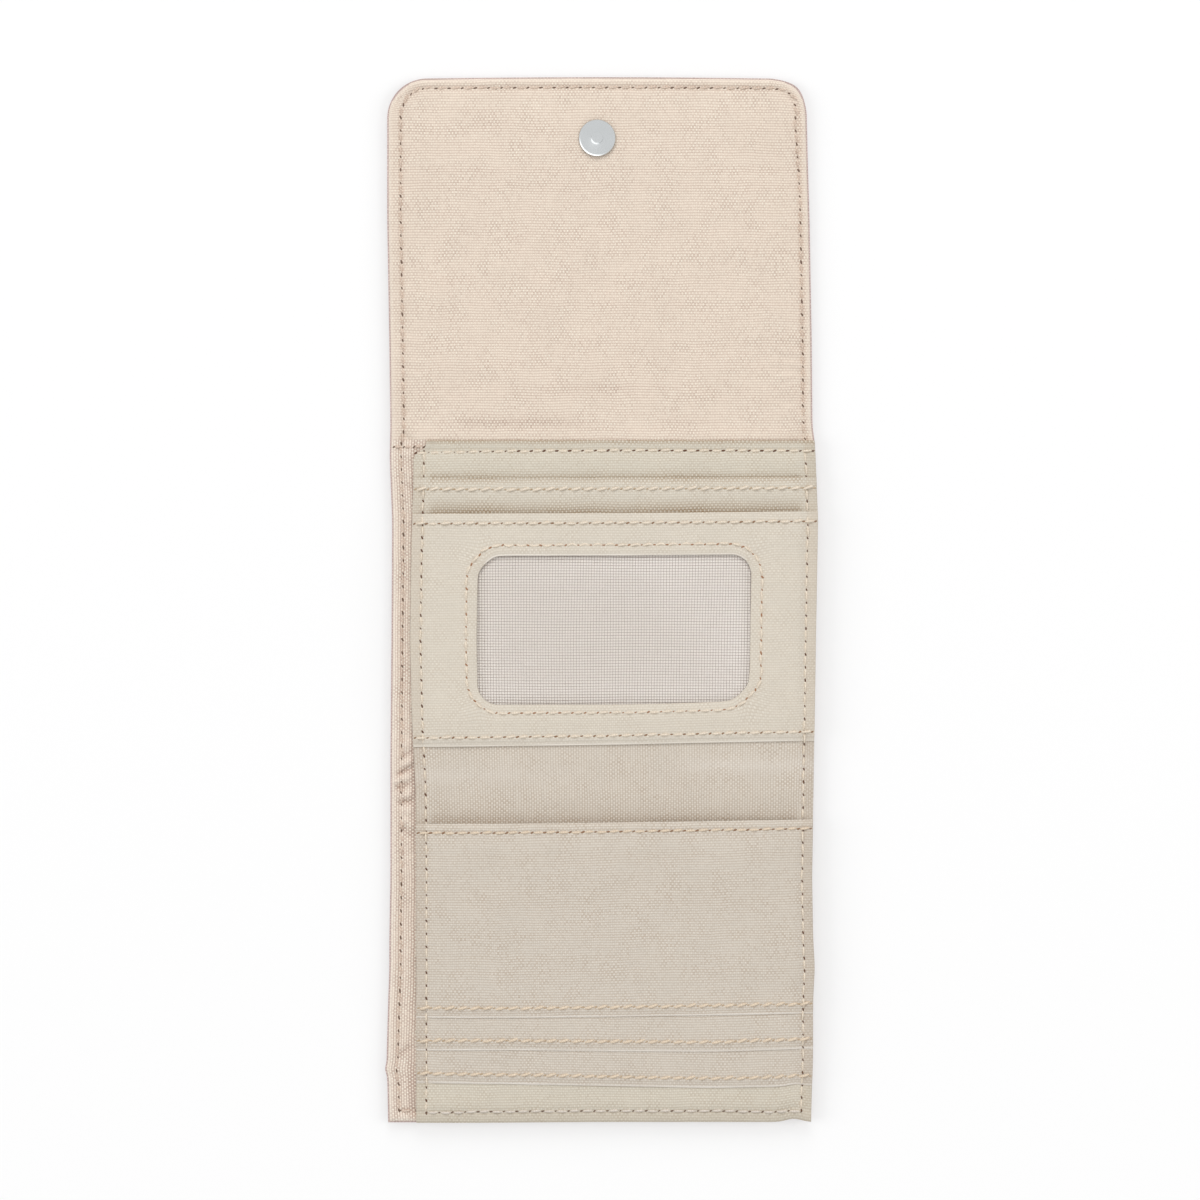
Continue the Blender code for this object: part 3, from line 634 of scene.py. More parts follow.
# How far each pocket lies out of square, from its left end to its right end
REAR_LEAN = (-0.1, -0.2, 0.0, 0.1, 0.3)
ID_LEAN = (-0.3, -0.15, -0.1, 0.15, 0.45)
LOWER_LEANS = {
    "back": (0.65, 0.2, -0.45, -0.95, -0.4),
    "centre": (-0.1, 0.05, -0.25, -0.4, 0.45),
    "front": (-0.75, -0.7, -0.35, 0.05, 0.5),
}
LOWER_POCKETS = {
    "back": (1, BACK_MOUTH, BACK_END),
    "centre": (2, CENTRE_MOUTH, CENTRE_END),
    "front": (3, FRONT_MOUTH, FRONT_END),
}


def lower_top(which):
    """A function for the height of one of the lower panel's pockets."""
    layer, mouth, _ = LOWER_POCKETS[which]

    def height(x, y):
        lift = pocket_lift(x, y, FRONT_END, 5)
        base = lining_calm(x, y) + layer * (CLOTH + LAYER_GAP + LOWER_LIFT * lift)
        seams = hem_and_seam(x, y, mouth + HEM, -1, 0.12, 0.05, 90 + layer)
        seams = seams + seam_across(x, y, FRONT_END - END_SEAM, 0.14, 0.5, 2.0, 0.05, 94)
        curl = 0.05 * ramp(y, mouth + 1.8, mouth) * open_share(x)
        curl = curl - 0.44 * ramp(y, mouth + 2.6, mouth)
        curl = curl - 0.35 * ramp(y, FRONT_END - 1.6, FRONT_END)
        waves = 0.03 * drift(x, y, 19, 95 + layer) * open_share(x)
        ripples = seam_ripples(x, y, 97) - side_grooves(x)
        return base + seams + curl + waves + ripples

    return height


# Making a sheet of cloth

def spread(start, end, step, dense=(), fine=0.22, reach=1.2):
    """Grid lines from start to end, closer together at the dense places."""
    places = [start]
    while places[-1] < end:
        here = places[-1]
        near = min((abs(here - place) for place in dense), default=1e9)
        share = min(1.0, max(0.0, (near - reach * 0.5) / reach))
        places.append(here + fine + (step - fine) * share)
    places = np.array(places)
    return start + (places - start) * (end - start) / (places[-1] - start)


def quads_of_grid(rows, columns, keep=None):
    index = np.arange(rows * columns).reshape(rows, columns)
    quads = np.stack(
        [index[:-1, :-1], index[:-1, 1:], index[1:, 1:], index[1:, :-1]], axis=-1
    )
    if keep is not None:
        quads = quads[keep]
    return quads.reshape(-1, 4)


def walls_of(quads, offset):
    """The quads that join the upper layer's open edges to the lower layer's."""
    edges = np.concatenate([quads[:, [i, (i + 1) % 4]] for i in range(4)]).astype(np.int64)
    more = edges.max() + 1
    key = edges[:, 0] * more + edges[:, 1]
    back = edges[:, 1] * more + edges[:, 0]
    rim = edges[~np.isin(key, back)]
    return np.stack([rim[:, 1], rim[:, 0], rim[:, 0] + offset, rim[:, 1] + offset], axis=-1)


def new_piece(name, data):
    """An object of the scene with this mesh, lamp or camera."""
    piece = bpy.data.objects.new(name, data)
    bpy.context.scene.collection.objects.link(piece)
    return piece


def mesh_from(name, points, faces, flat, look):
    """A mesh object in metres, with the flat pattern as its UV map."""
    mesh = bpy.data.meshes.new(name)
    mesh.vertices.add(len(points))
    mesh.vertices.foreach_set("co", (points * MM).astype(np.float32).ravel())
    mesh.loops.add(faces.size)
    mesh.loops.foreach_set("vertex_index", faces.astype(np.int32).ravel())
    mesh.polygons.add(len(faces))
    mesh.polygons.foreach_set("loop_start", (np.arange(len(faces)) * 4).astype(np.int32))
    mesh.update(calc_edges=True)
    pattern = mesh.uv_layers.new(name="pattern")
    pattern.data.foreach_set("uv", flat[faces.ravel()].astype(np.float32).ravel())
    mesh.polygons.foreach_set("use_smooth", np.ones(len(faces), bool))
    mesh.set_sharp_from_angle(angle=math.radians(55))
    mesh.materials.append(look)
    return new_piece(name, mesh)


def sheet_of_cloth(name, grid, upper, lower, lie, look, keep=None, place=None, marks=None,
                   slack=None):
    """A closed sheet between an upper and a lower surface over one grid.

    marks names masks for the cloth's look, each a function of the pattern's x and y.
    slack is extra length of cloth along the pattern, gathered where it is needed.
    """
    x, y = np.meshgrid(*grid)
    flat_x, flat_y = x.copy(), y.copy()
    if slack is not None:
        flat_y = flat_y + slack(y)
    if place is not None:
        x, y = place(x, y)
    top = upper(x, y)
    bottom = lower(x, y)
    lain_x, lain_y = lie(x, y)
    rows, columns = x.shape
    above = np.stack([lain_x, lain_y, np.maximum(top, bottom + THINNEST)], axis=-1)
    below = np.stack([lain_x, lain_y, bottom], axis=-1)
    points = np.concatenate([above.reshape(-1, 3), below.reshape(-1, 3)])
    quads = quads_of_grid(rows, columns, keep)
    offset = rows * columns
    faces = np.concatenate([quads, quads[:, ::-1] + offset, walls_of(quads, offset)])
    flat = np.tile(np.stack([flat_x, flat_y], axis=-1).reshape(-1, 2), (2, 1)) * PATTERN_SCALE
    used = np.unique(faces)
    renumber = np.zeros(len(points), int)
    renumber[used] = np.arange(len(used))
    piece = mesh_from(name, points[used], renumber[faces], flat[used], look)
    for mark, mask in (marks or {}).items():
        set_mark(piece, mark, np.tile(mask(x, y).ravel(), 2)[used])
    return piece


def set_mark(piece, mark, values):
    """A mask for the look of a piece, one value for each of its points."""
    layer = piece.data.attributes.new(mark, "FLOAT", "POINT")
    layer.data.foreach_set("value", np.asarray(values, np.float32))


def second_look(piece, look, test):
    """Another material on the faces whose place on the flat pattern passes a test."""
    pattern = np.zeros(len(piece.data.loops) * 2, np.float32)
    piece.data.uv_layers["pattern"].data.foreach_get("uv", pattern)
    x, y = pattern.reshape(-1, 4, 2).mean(axis=1).T / PATTERN_SCALE
    piece.data.materials.append(look)
    piece.data.polygons.foreach_set("material_index", test(x, y).astype(np.int32))


def hem_round(distance, thickness):
    """How much of its thickness a folded edge has, from 0 at the edge to 1."""
    return 1 - edge_roll(distance, np.minimum(thickness / 2, FOLD_SOFTNESS), 1)


def layer_faces(top, thickness, edges):
    """Upper and lower surfaces of a layer whose given edges are folded round."""
    def face(x, y, side):
        share = np.ones_like(x)
        for edge in edges:
            share = np.minimum(share, hem_round(edge(x, y), thickness(x, y)))
        half = thickness(x, y) / 2
        return top(x, y) - half + side * half * share

    return lambda x, y: face(x, y, 1), lambda x, y: face(x, y, -1)


# Wiring nodes

class Wired:
    """One output of a node. A sum with it adds the nodes that work the sum out."""

    def __init__(self, wiring, socket):
        self.wiring = wiring
        self.socket = socket

    def __getitem__(self, output):
        """Another output of the same node."""
        return Wired(self.wiring, self.socket.node.outputs[output])

    def __add__(self, other):
        return self.wiring.math("ADD", self, other)

    def __radd__(self, other):
        return self.wiring.math("ADD", other, self)

    def __sub__(self, other):
        return self.wiring.math("SUBTRACT", self, other)

    def __rsub__(self, other):
        return self.wiring.math("SUBTRACT", other, self)

    def __mul__(self, other):
        return self.wiring.math("MULTIPLY", self, other)

    def __truediv__(self, other):
        return self.wiring.math("DIVIDE", self, other)


class Wiring:
    """Short ways to add and join the nodes of one tree."""

    def __init__(self, tree):
        self.tree = tree

    def add(self, kind, values=None, output=0, **settings):
        """Add a node, set it and feed it, and give one of its outputs."""
        node = self.tree.nodes.new(kind)
        for setting, value in settings.items():
            setattr(node, setting, value)
        self.feed(node.inputs, values or {})
        return Wired(self, node.outputs[output])

    def feed(self, inputs, values):
        """Join each input to an output, or set it to a plain value."""
        for label, value in values.items():
            if isinstance(value, Wired):
                self.tree.links.new(value.socket, inputs[label])
            else:
                inputs[label].default_value = value

    def math(self, operation, *values):
        return self.add("ShaderNodeMath", dict(enumerate(values)), operation=operation)

    def vector(self, x=0.0, y=0.0, z=0.0):
        return self.add("ShaderNodeCombineXYZ", {0: x, 1: y, 2: z})

    def vector_math(self, operation, values, output=0):
        return self.add("ShaderNodeVectorMath", values, output, operation=operation)

    def mix(self, share, first, second):
        return self.add("ShaderNodeMix", {0: share, 6: first, 7: second}, 2, data_type="RGBA")

    def span(self, value, low, high, new_low, new_high):
        """Turn the values from low to high into new ones."""
        return self.add("ShaderNodeMapRange", {"Value": value, "From Min": low, "From Max": high,
                                               "To Min": new_low, "To Max": new_high})

    def on_piece(self):
        """The place of a point on its own piece."""
        return self.add("ShaderNodeTexCoord", output="Object")

    def noise(self, scale, detail=2.0, place=None):
        place = place or self.on_piece()
        return self.add("ShaderNodeTexNoise", {"Vector": place, "Scale": scale, "Detail": detail})

    def mark(self, name):
        """A mask that the piece carries."""
        return self.add("ShaderNodeAttribute", output="Fac", attribute_name=name)

    def raised(self, height, distance):
        return self.add("ShaderNodeBump", {"Height": height, "Distance": distance})

    def instances(self, points, shape, **how):
        """Copies of a shape on points, as real geometry."""
        laid = self.add("GeometryNodeInstanceOnPoints",
                        {"Points": points, "Instance": shape, **how})
        return self.add("GeometryNodeRealizeInstances", {"Geometry": laid})

    def tube(self, curve, sides, radius, **how):
        """A smooth tube along a curve."""
        ring = self.add("GeometryNodeCurvePrimitiveCircle", {"Resolution": sides, "Radius": radius})
        mesh = self.add("GeometryNodeCurveToMesh", {"Curve": curve, "Profile Curve": ring,
                                                    "Fill Caps": True, **how})
        return self.add("GeometryNodeSetShadeSmooth", {"Geometry": mesh})

    def dyed(self, geometry, look):
        return self.add("GeometryNodeSetMaterial", {"Geometry": geometry, "Material": look})

    def joined(self, parts):
        join = self.add("GeometryNodeJoinGeometry")
        for part in parts:
            self.feed(join.socket.node.inputs, {0: part})
        return join


def node_group(name, kind, inputs, outputs):
    """A group with named sockets: its wiring, what it is given and what it gives."""
    group = bpy.data.node_groups.new(name, kind)
    for way, rows in (("INPUT", inputs), ("OUTPUT", outputs)):
        for label, sort, *value in rows:
            socket = group.interface.new_socket(label, in_out=way, socket_type="NodeSocket" + sort)
            if value:
                socket.default_value = value[0]
    w = Wiring(group)
    return w, w.add("NodeGroupInput"), group.nodes.new("NodeGroupOutput").inputs


# Materials

def plain_weave():
    """Rows and columns of threads passing over each other, with gaps between the rows."""
    w, given, out = node_group("Plain weave", "ShaderNodeTree", [
        ("Pattern", "Vector"),
        *[(label, "Color") for label in ("Cloth", "Float", "Gap", "Pale")],
        *[(label, "Float") for label in ("Columns", "Rows", "Float share", "Gap share", "Slub",
                                         "Cloud", "Strained", "Folded", "Shaded")],
    ], [("Color", "Color"), ("Height", "Float"), ("Rough", "Float")])
    pattern = given["Pattern"]
    centred = w.vector_math("SUBTRACT", {0: w.noise(9.0, 1.0, pattern)["Color"],
                                         1: (0.5, 0.5, 0.5)})
    shaken = w.vector_math("SCALE", {0: centred, "Scale": 0.008})
    split = w.add("ShaderNodeSeparateXYZ", {0: w.vector_math("ADD", {0: pattern, 1: shaken})})
    u = split[0] * given["Columns"]
    v = split[1] * given["Rows"]
    column = w.math("FLOOR", u)
    row = w.math("FLOOR", v)
    over = w.math("MODULO", column + row + 20000.0, 2.0)
    under = 1.0 - over
    across_u = w.math("SINE", w.math("FRACT", u) * math.pi)
    across_v = w.math("SINE", w.math("FRACT", v) * math.pi)
    dot = across_u * across_v

    # What differs from thread to thread and from place to place
    knot_luck = w.add("ShaderNodeTexWhiteNoise", {"Vector": w.vector(column, row)}, "Value",
                      noise_dimensions="2D")
    row_luck = w.add("ShaderNodeTexWhiteNoise", {"W": row}, "Value", noise_dimensions="1D")
    streak = w.noise(1.0, 1.0, w.vector(split[0] * 30.0, row * 0.73))
    uneven = row_luck * 0.4 + streak * 1.2 - 0.8
    clouded = w.noise(9.0, 3.0, pattern) - 0.5
    dotted = w.span(w.noise(13.0, 2.0, pattern), 0.36, 0.64, 0.5, 1.4)
    fuzzy = (w.noise(190.0, 2.0, pattern) - 0.5) * 0.12
    lively = (knot_luck * 1.4 + 0.3) * dotted

    # Painted highlight and shade of the weave's relief: threads on top are painted bright, and the
    # gaps and the threads beneath painted dark
    bright = over * dot * given["Float share"] * lively
    colour = w.mix(w.math("MINIMUM", bright, 1.0), given["Cloth"], given["Float"])
    row_line = w.math("POWER", 1.0 - across_v, 1.3) * (row_luck * 0.5 + 0.75)
    column_line = w.math("POWER", 1.0 - across_u, 1.3) * 0.3
    deep = (row_line + column_line + under * lively * 0.35) * given["Gap share"]
    # The strain mark darkens the gaps and the threads beneath: weave pulled open, and painted shade
    # where pieces set it in dips, creases and shadow lines
    pulled = (1.0 - dot) * 0.45 + under * 0.4
    deep = deep + pulled * given["Strained"]
    colour = w.mix(w.math("MINIMUM", deep, 1.0), colour, given["Gap"])
    tone = 1.0 + uneven * (given["Slub"] * 0.16) + clouded * (given["Cloud"] * 0.2) + fuzzy
    toned = w.vector_math("SCALE", {0: colour, "Scale": tone})
    # The shaded mark paints plain shade in the gap colour
    shaded = w.mix(given["Shaded"], toned, given["Gap"])
    high = dot * (over * 0.45 + 0.55)
    # The folded mark paints sheen: it mixes the cloth towards its pale highlight colour
    w.feed(out, {
        "Color": w.mix(given["Folded"], shaded, given["Pale"]),
        "Height": high + uneven * 0.25,
        "Rough": 0.80 - high * 0.22,
    })
    return w.tree


def screen(*values):
    """A colour given as the 0 to 255 values of a screen."""
    shares = [value / 255 for value in values]
    return (*[share / 12.92 if share <= 0.04045 else ((share + 0.055) / 1.055) ** 2.4
              for share in shares], 1.0)


def shade_of(colour, *change):
    """A colour some screen steps lighter or darker."""
    return screen(*[value + step for value, step in zip(colour, change)])


def new_material(name):
    made = bpy.data.materials.new(name)
    made.use_nodes = True
    return made, Wiring(made.node_tree), made.node_tree.nodes["Principled BSDF"].inputs


def cloth(name, turned, sheen, **weaving):
    """A woven cloth that follows the piece's own pattern, or lies across it when turned.

    Columns and Rows are its threads in 100 mm each way.
    """
    made, w, shader = new_material(name)
    pattern = w.add("ShaderNodeUVMap", uv_map="pattern")
    if turned:
        parts = w.add("ShaderNodeSeparateXYZ", {0: pattern})
        pattern = w.vector(parts[1], parts[0])
    weaving = {label.replace("_", " "): value for label, value in weaving.items()}
    # The piece's marks: strain with painted shade, painted sheen on folds and edges, and painted
    # shade
    marks = {label: w.mark(label.lower()) for label in ("Strained", "Folded", "Shaded")}
    weave = w.add("ShaderNodeGroup", {"Pattern": pattern, "Slub": 0.35, **weaving, **marks},
                  node_tree=WEAVE)
    w.feed(shader, {
        "Base Color": weave["Color"],
        "Roughness": weave["Rough"],
        "Normal": w.raised(weave["Height"], RELIEF),
        "Specular IOR Level": 0.3,
        "Sheen Weight": sheen,
        "Sheen Roughness": 0.4,
    })
    return made


# Each cloth's lighter, deeper and paler colours are those of the weave's painted highlight, painted
# shade and painted sheen
def peach_cloth(name, colour, gap_share=0.5, turned=False):
    """The shell's ribbed cloth."""
    lighter = min(22, 255 - colour[0])
    return cloth(
        name, turned, 0.15, Cloth=screen(*colour), Float=shade_of(colour, lighter, 22, 22),
        Gap=shade_of(colour, -62, -72, -70), Pale=shade_of(colour, 4, 6, 8),
        Columns=202.0, Rows=130.0, Float_share=0.38, Gap_share=gap_share, Cloud=0.5,
    )


def lining_cloth(name, colour, gap_share=0.28, turned=False, pale=(20, 21, 24)):
    """The fine lining, at the depth of shade it shows on one piece."""
    return cloth(
        name, turned, 0.2, Cloth=screen(*colour), Float=shade_of(colour, 22, 23, 24),
        Gap=shade_of(colour, -66, -88, -108), Pale=shade_of(colour, *pale),
        Columns=182.0, Rows=138.0, Float_share=0.22, Gap_share=gap_share, Cloud=0.4,
    )


def spun_thread(name, colour, shade):
    """Sewing thread: two plies twisted round each other, with painted shade in the grooves between
    them.
    """
    made, w, shader = new_material(name)
    twist = w.add("ShaderNodeTexWave", {"Vector": w.on_piece(), "Scale": 900.0,
                                        "Distortion": 2.0, "Detail": 1.0},
                  "Fac", bands_direction="DIAGONAL")
    w.feed(shader, {
        "Base Color": w.mix(twist * 0.55, screen(*colour), screen(*shade)),
        "Normal": w.raised(twist, RELIEF),
        "Roughness": 0.6,
        "Sheen Weight": 0.15,
    })
    return made


def needle_hole(name, colour, deep):
    """Painted shade of a needle hole: the dark of the hole and the pricked cloth round it."""
    made, w, shader = new_material(name)
    w.feed(shader, {
        "Base Color": w.mix(w.noise(2600.0), screen(*deep), screen(*colour)),
        "Roughness": 0.95,
        "Specular IOR Level": 0.1,
    })
    return made


def plated(name, colour, roughness, scratch):
    """Satin nickel: fine turning lines and a slight unevenness."""
    made, w, shader = new_material(name)
    grain = w.noise(2200.0, 3.0)
    tone = w.noise(160.0) * 0.1 + 0.95
    w.feed(shader, {
        "Base Color": w.vector_math("SCALE", {0: screen(*colour)[:3], "Scale": tone}),
        "Roughness": grain * 0.12 + roughness,
        "Normal": w.raised(grain, scratch),
        "Metallic": 1.0,
    })
    return made


def plain_surface(name, colour, shade, scale, roughness, height=0.0001, deep=None):
    """A quiet surface with a fine mottle, and painted shade where the piece carries a shaded mark
    for it.
    """
    made, w, shader = new_material(name)
    mottle = w.noise(scale, 3.0)
    look = w.mix(mottle, screen(*shade), screen(*colour))
    if deep is not None:
        look = w.mix(w.mark("shaded"), look, screen(*deep))
    w.feed(shader, {"Base Color": look, "Normal": w.raised(mottle, height),
                    "Roughness": roughness})
    return made


WEAVE = plain_weave()
RELIEF = 0.00006  # metres that the threads of cloth and of sewing thread stand proud

# The strip's peach and the lining's copies differ only by the painted light and shade each piece
# shows; the rear pocket's highlight colour is brighter for the painted light behind the net
peach = peach_cloth("peach cloth", (243, 228, 211))
peach_strip = peach_cloth("peach cloth of the strip", (249, 235, 219), 0.75, turned=True)
peach_back = peach_cloth("peach outer cloth", (216, 197, 192))
taupe_panel = lining_cloth("taupe lining", (221, 214, 199))
taupe_fold = lining_cloth("taupe lining at the fold", (222, 214, 202), 0.3, turned=True)
taupe_rear = lining_cloth("taupe lining of the rear pocket", (223, 216, 202), pale=(34, 36, 44))
taupe_id = lining_cloth("taupe lining of the window pocket", (225, 217, 203), 0.2)
taupe_lower = lining_cloth("taupe lining of the card slots", (220, 212, 200), 0.34)
cream_thread = spun_thread("cream thread", (243, 231, 213), (220, 200, 176))
warm_thread = spun_thread("warm cream thread", (238, 221, 198), (212, 188, 160))
grey_thread = spun_thread("grey thread", (232, 222, 210), (204, 192, 180))
peach_thread = spun_thread("peach thread", (232, 213, 196), (188, 162, 144))
# Needle holes are flat dark marks: painted shade where each hole sinks into the cloth
brown_hole = needle_hole("needle holes", (126, 96, 80), (92, 68, 54))
grey_hole = needle_hole("needle holes in the facing", (136, 114, 100), (104, 84, 72))
warm_hole = needle_hole("warm needle holes", (182, 142, 112), (150, 108, 82))
faint_hole = needle_hole("shallow needle holes", (168, 138, 112), (136, 106, 84))
hidden_hole = needle_hole("nearly closed needle holes", (200, 180, 154), (184, 160, 132))
# The net's deep colour is painted shade, laid on by its shaded mark
net_look = plain_surface("window net", (184, 169, 161), (166, 150, 142), 900.0, 0.5, 0.00008,
                         deep=(112, 84, 68))
pad_look = plain_surface("pale padding", (240, 238, 232), (226, 222, 214), 700.0, 0.95)
nickel = plated("satin nickel", (201, 204, 205), 0.16, 0.000001)
magnet_look = plain_surface("sintered magnet", (96, 96, 100), (70, 70, 76), 1500.0, 0.5)


# The shell

# Each stretch: lowest and highest Y, the bodies before and after its fold, the fold's
# place, how far the cloth bends on each side of it, and the CAD parts that it stands for
STRETCHES = {
    "flap": (FLAP_SPLIT, TOP_Y, "flap_spine", "flap", FLAP_FOLD, 5.0, ["flap"]),
    "neck": (MIDDLE_SPLIT, FLAP_SPLIT, "middle_panel", "flap_spine", NECK_FOLD, 4.5,
             ["flap_spine"]),
    "waist": (FOLD_SPLIT, MIDDLE_SPLIT, "middle_panel", "fold_spine", MIDDLE_FOLD, 3.6,
              ["middle", "fold_spine"]),
    "lower": (BOTTOM_Y, FOLD_SPLIT, "fold_spine", "lower_panel", LOWER_FOLD, 3.6, ["lower"]),
}


def bend(piece, stretch):
    """Bake a piece of one stretch in place; the ends of its fold's reach are worked out but not
    used.
    """
    _, _, first, second, fold, reach, _ = STRETCHES[stretch]
    away = math.copysign(reach, fold)
    start = (0, (fold - away) * MM, 0)
    end = (0, (fold + away) * MM, 0)
    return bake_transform(piece)


def outer_slack(y):
    """The extra length of outer cloth that each fold takes up when the wallet is shut."""
    extra = 0
    for _, _, _, _, fold, reach, _ in STRETCHES.values():
        depth = (FLAP_PIVOT if fold > 0 else LOWER_PIVOT) - SHELL_BOTTOM
        extra = extra + FOLD_STRETCH * depth * ramp(y, fold - reach, fold + reach)
    return extra


def shell_grid(y_low, y_high):
    """Grid lines of one stretch of the shell, close together at its rims and seams."""
    side = [-HALF_WIDTH, -HALF_WIDTH + 3.3, HALF_WIDTH - RIGHT_STITCH, HALF_WIDTH]
    ends = [y for y in (TOP_Y, TOP_Y - TOP_STITCH, BOTTOM_Y, BOTTOM_Y + BOTTOM_SEAM)
            if y_low - 1 <= y <= y_high + 1]
    return (spread(-HALF_WIDTH, HALF_WIDTH, FINE, side, fine=0.2, reach=1.6),
            spread(y_low, y_high, FINE, ends, fine=0.2, reach=1.6))


def turned_in(x, y, turned, plain):
    """An inner side that follows the turned-in edge as far as the stitches."""
    share = ramp(rim_distance(x, y), TURNED_IN, TURNED_IN + 1.5)
    return (turned - side_droop(x, y)) * (1 - share) + plain * share


def facing_lower(x, y):
    """The facing's inner side."""
    top = shell_top(x, y)
    return np.minimum(turned_in(x, y, SEAM_HEIGHT, top - CLOTH), top - 0.03)


def back_upper(x, y):
    """The outer cloth's inner side."""
    low = shell_back(x, y)
    return np.maximum(turned_in(x, y, SEAM_HEIGHT - 0.04, low + CLOTH), low + 0.03)


def facing_lie(x, y):
    """The facing ends a little inside the outer cloth, which shows as a fine line."""
    pull = PIPING * (1 - np.clip(rim_distance(x, y), 0, PIPING_REACH) / PIPING_REACH)
    side = np.abs(x) > HALF_WIDTH - PIPING_REACH
    new_x = np.where(side, x - np.sign(x) * pull, x)
    new_y = np.where(y > TOP_Y - PIPING_REACH, y - pull,
                     np.where(y < BOTTOM_Y + PIPING_REACH, y + pull, y))
    return lie_of_shell(new_x, new_y)


def strain_and_shade_of_facing(x, y):
    """Where the facing is pulled, with painted shade: its seams, the neck's bend, the strip's
    crease valleys and beside the card panel.
    """
    beside_row = np.abs(rim_distance(x, y) - stitch_inset(x, y))
    seam = 0.05 * bump(beside_row, 0.0, 1.0) + 0.2 * bump(beside_row, 0.6, 0.22)
    seam = seam * (1 + 0.5 * drift(x, y, 12, 402))
    # Painted shade in the valleys of the strip's creases
    valleys = np.clip(-1.7 * strip_creases(x, y), 0, 0.9)
    on_strip = ramp(y, PANEL_TOP + 0.5, PANEL_TOP - 1)
    # Painted shadow beside the card panel's free edge, heavier where the strip gathers
    pulls = bump(y, -50, 12) + 0.8 * bump(y, 30, 10) + 0.8 * bump(y, -138, 8)
    beside = ramp(x, CARD_LEFT - 1.4, CARD_LEFT - 0.4) * (0.1 + 0.9 * pulls) * on_strip
    # A painted shadow line right at the panel's edge
    panel_edge_shadow = 0.45 + 0.35 * drift(x * 0, y, 9, 406)
    beside = beside + panel_edge_shadow * bump(x, CARD_LEFT - 0.1, 0.3) * on_strip
    across_foot = -143.6 - 1.1 * (x + 58) / 5.4
    beside = beside + 0.6 * bump(y, across_foot, 0.3) * ramp(x, -58.6, -58) * on_strip
    # Painted shade along the neck's bend
    neck = 0.42 * bump(y, 50.0, 1.5) * ramp(x, -43, -36) * ramp(x, 4, -20)
    neck = neck + 0.2 * bump(y, 60.0, 1.2) * bump(x, 0, 12)
    neck = neck + 0.2 * bump(y, 50, 1.6) * bump(x, 25, 9)
    return seam + beside + neck + valleys * on_strip


def painted_sheen_on_rim(x, y):
    """Painted sheen: the facing is painted paler where it rolls over the rim."""
    return 0.45 * ramp(rim_distance(x, y), 1.5, 0.3)


def make_shell():
    """Facing, outer cloth and padding of the four stretches."""
    for stretch, (y_low, y_high, _, _, _, _, parts) in STRETCHES.items():
        grid = shell_grid(y_low, y_high)
        place = round_corners if stretch == "flap" else None
        size = (2 * HALF_WIDTH * MM, (y_high - y_low) * MM)
        facing = sheet_of_cloth(
            stretch + "_facing_cloth", grid, shell_top, facing_lower, facing_lie, peach,
            place=place, marks={"strained": strain_and_shade_of_facing, "folded": painted_sheen_on_rim},
        )
        second_look(facing, peach_strip, lambda x, y: y < PANEL_TOP + 0.6)
        back = sheet_of_cloth(
            stretch + "_outer_cloth", grid, back_upper, shell_back, lie_of_shell, peach_back,
            place=place, slack=outer_slack,
        )
        pad = make_pad(stretch, y_low, y_high)
        for piece, layer in ((facing, "_facing"), (back, "_outer_fabric"), (pad, "_foam")):
            bend(piece, stretch)
            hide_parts(*[part + layer for part in parts])


def make_pad(stretch, y_low, y_high):
    """The thin padding between outer cloth and facing, with room for the snap."""
    edge = TURNED_IN + 1.6
    low = BOTTOM_Y + edge if stretch == "lower" else y_low
    high = TOP_Y - edge if stretch == "flap" else y_high
    xs = np.linspace(-HALF_WIDTH + edge, HALF_WIDTH - edge, 74)
    ys = np.linspace(low, high, max(8, int((high - low) / COARSE)))
    x, y = np.meshgrid((xs[:-1] + xs[1:]) / 2, (ys[:-1] + ys[1:]) / 2)
    keep = np.ones(x.shape, bool)
    for corner_low, corner_high in ((STUD_LOW, STUD_HIGH), (SOCKET_LOW, SOCKET_HIGH)):
        keep &= seat_at(x, y, corner_low, corner_high, 1.2) < 0.5

    def upper(px, py):
        return shell_top(px, py) - CLOTH - PAD_GAP

    def lower(px, py):
        return np.minimum(shell_back(px, py) + CLOTH + PAD_GAP, upper(px, py) - 0.1)

    return sheet_of_cloth(
        stretch + "_padding", (xs, ys), upper, lower, lie_of_shell, pad_look, keep=keep
    )


# The card panel

def strain_and_shade_of_lining(x, y):
    """Where the under layers pull tight and take painted shade beside a pocket's edge, with painted
    shadow lines along the edges.
    """
    on_middle = y > FRONT_END + 25
    # Painted shade in the dips before the pockets' edges and at the fold, where the weave also
    # opens
    dips = lining_dips(x, y) / np.where(on_middle, 0.8, FOLD_DIP)
    dips = np.clip(dips, 0, 1) * (0.8 + 0.3 * drift(x, y * 0, 14, 403))
    fold = 0.10 * ramp(y, REAR_END, REAR_END - 2) * ramp(y, -140, -70)
    # Painted shadow lines along the slots' top edge, the rear pocket's mouth and under the flap's
    # edge
    edges = 0.38 * bump(y, FRONT_END + 0.2, 0.25) + 0.45 * bump(y, REAR_MOUTH + 0.2, 0.25)
    edges = edges * open_share(x)
    edges = edges + 0.6 * ramp(y, PANEL_TOP - 1.5, PANEL_TOP - 0.3)
    return np.where(on_middle, 1.15, 0.5) * dips + fold + edges


def sheen_at_fold(x, y):
    """Paler bands where the hanging lining turns towards the light."""
    high = bump(y, -46.8, 2.0) * ramp(x, 8, 34) + 0.7 * bump(y, -49.5, 2.4) * ramp(x, 5, -35)
    return 0.22 * high * (1 + 0.4 * drift(x, y, 12, 405)) * ramp(y, ID_END, ID_END - 1.5)


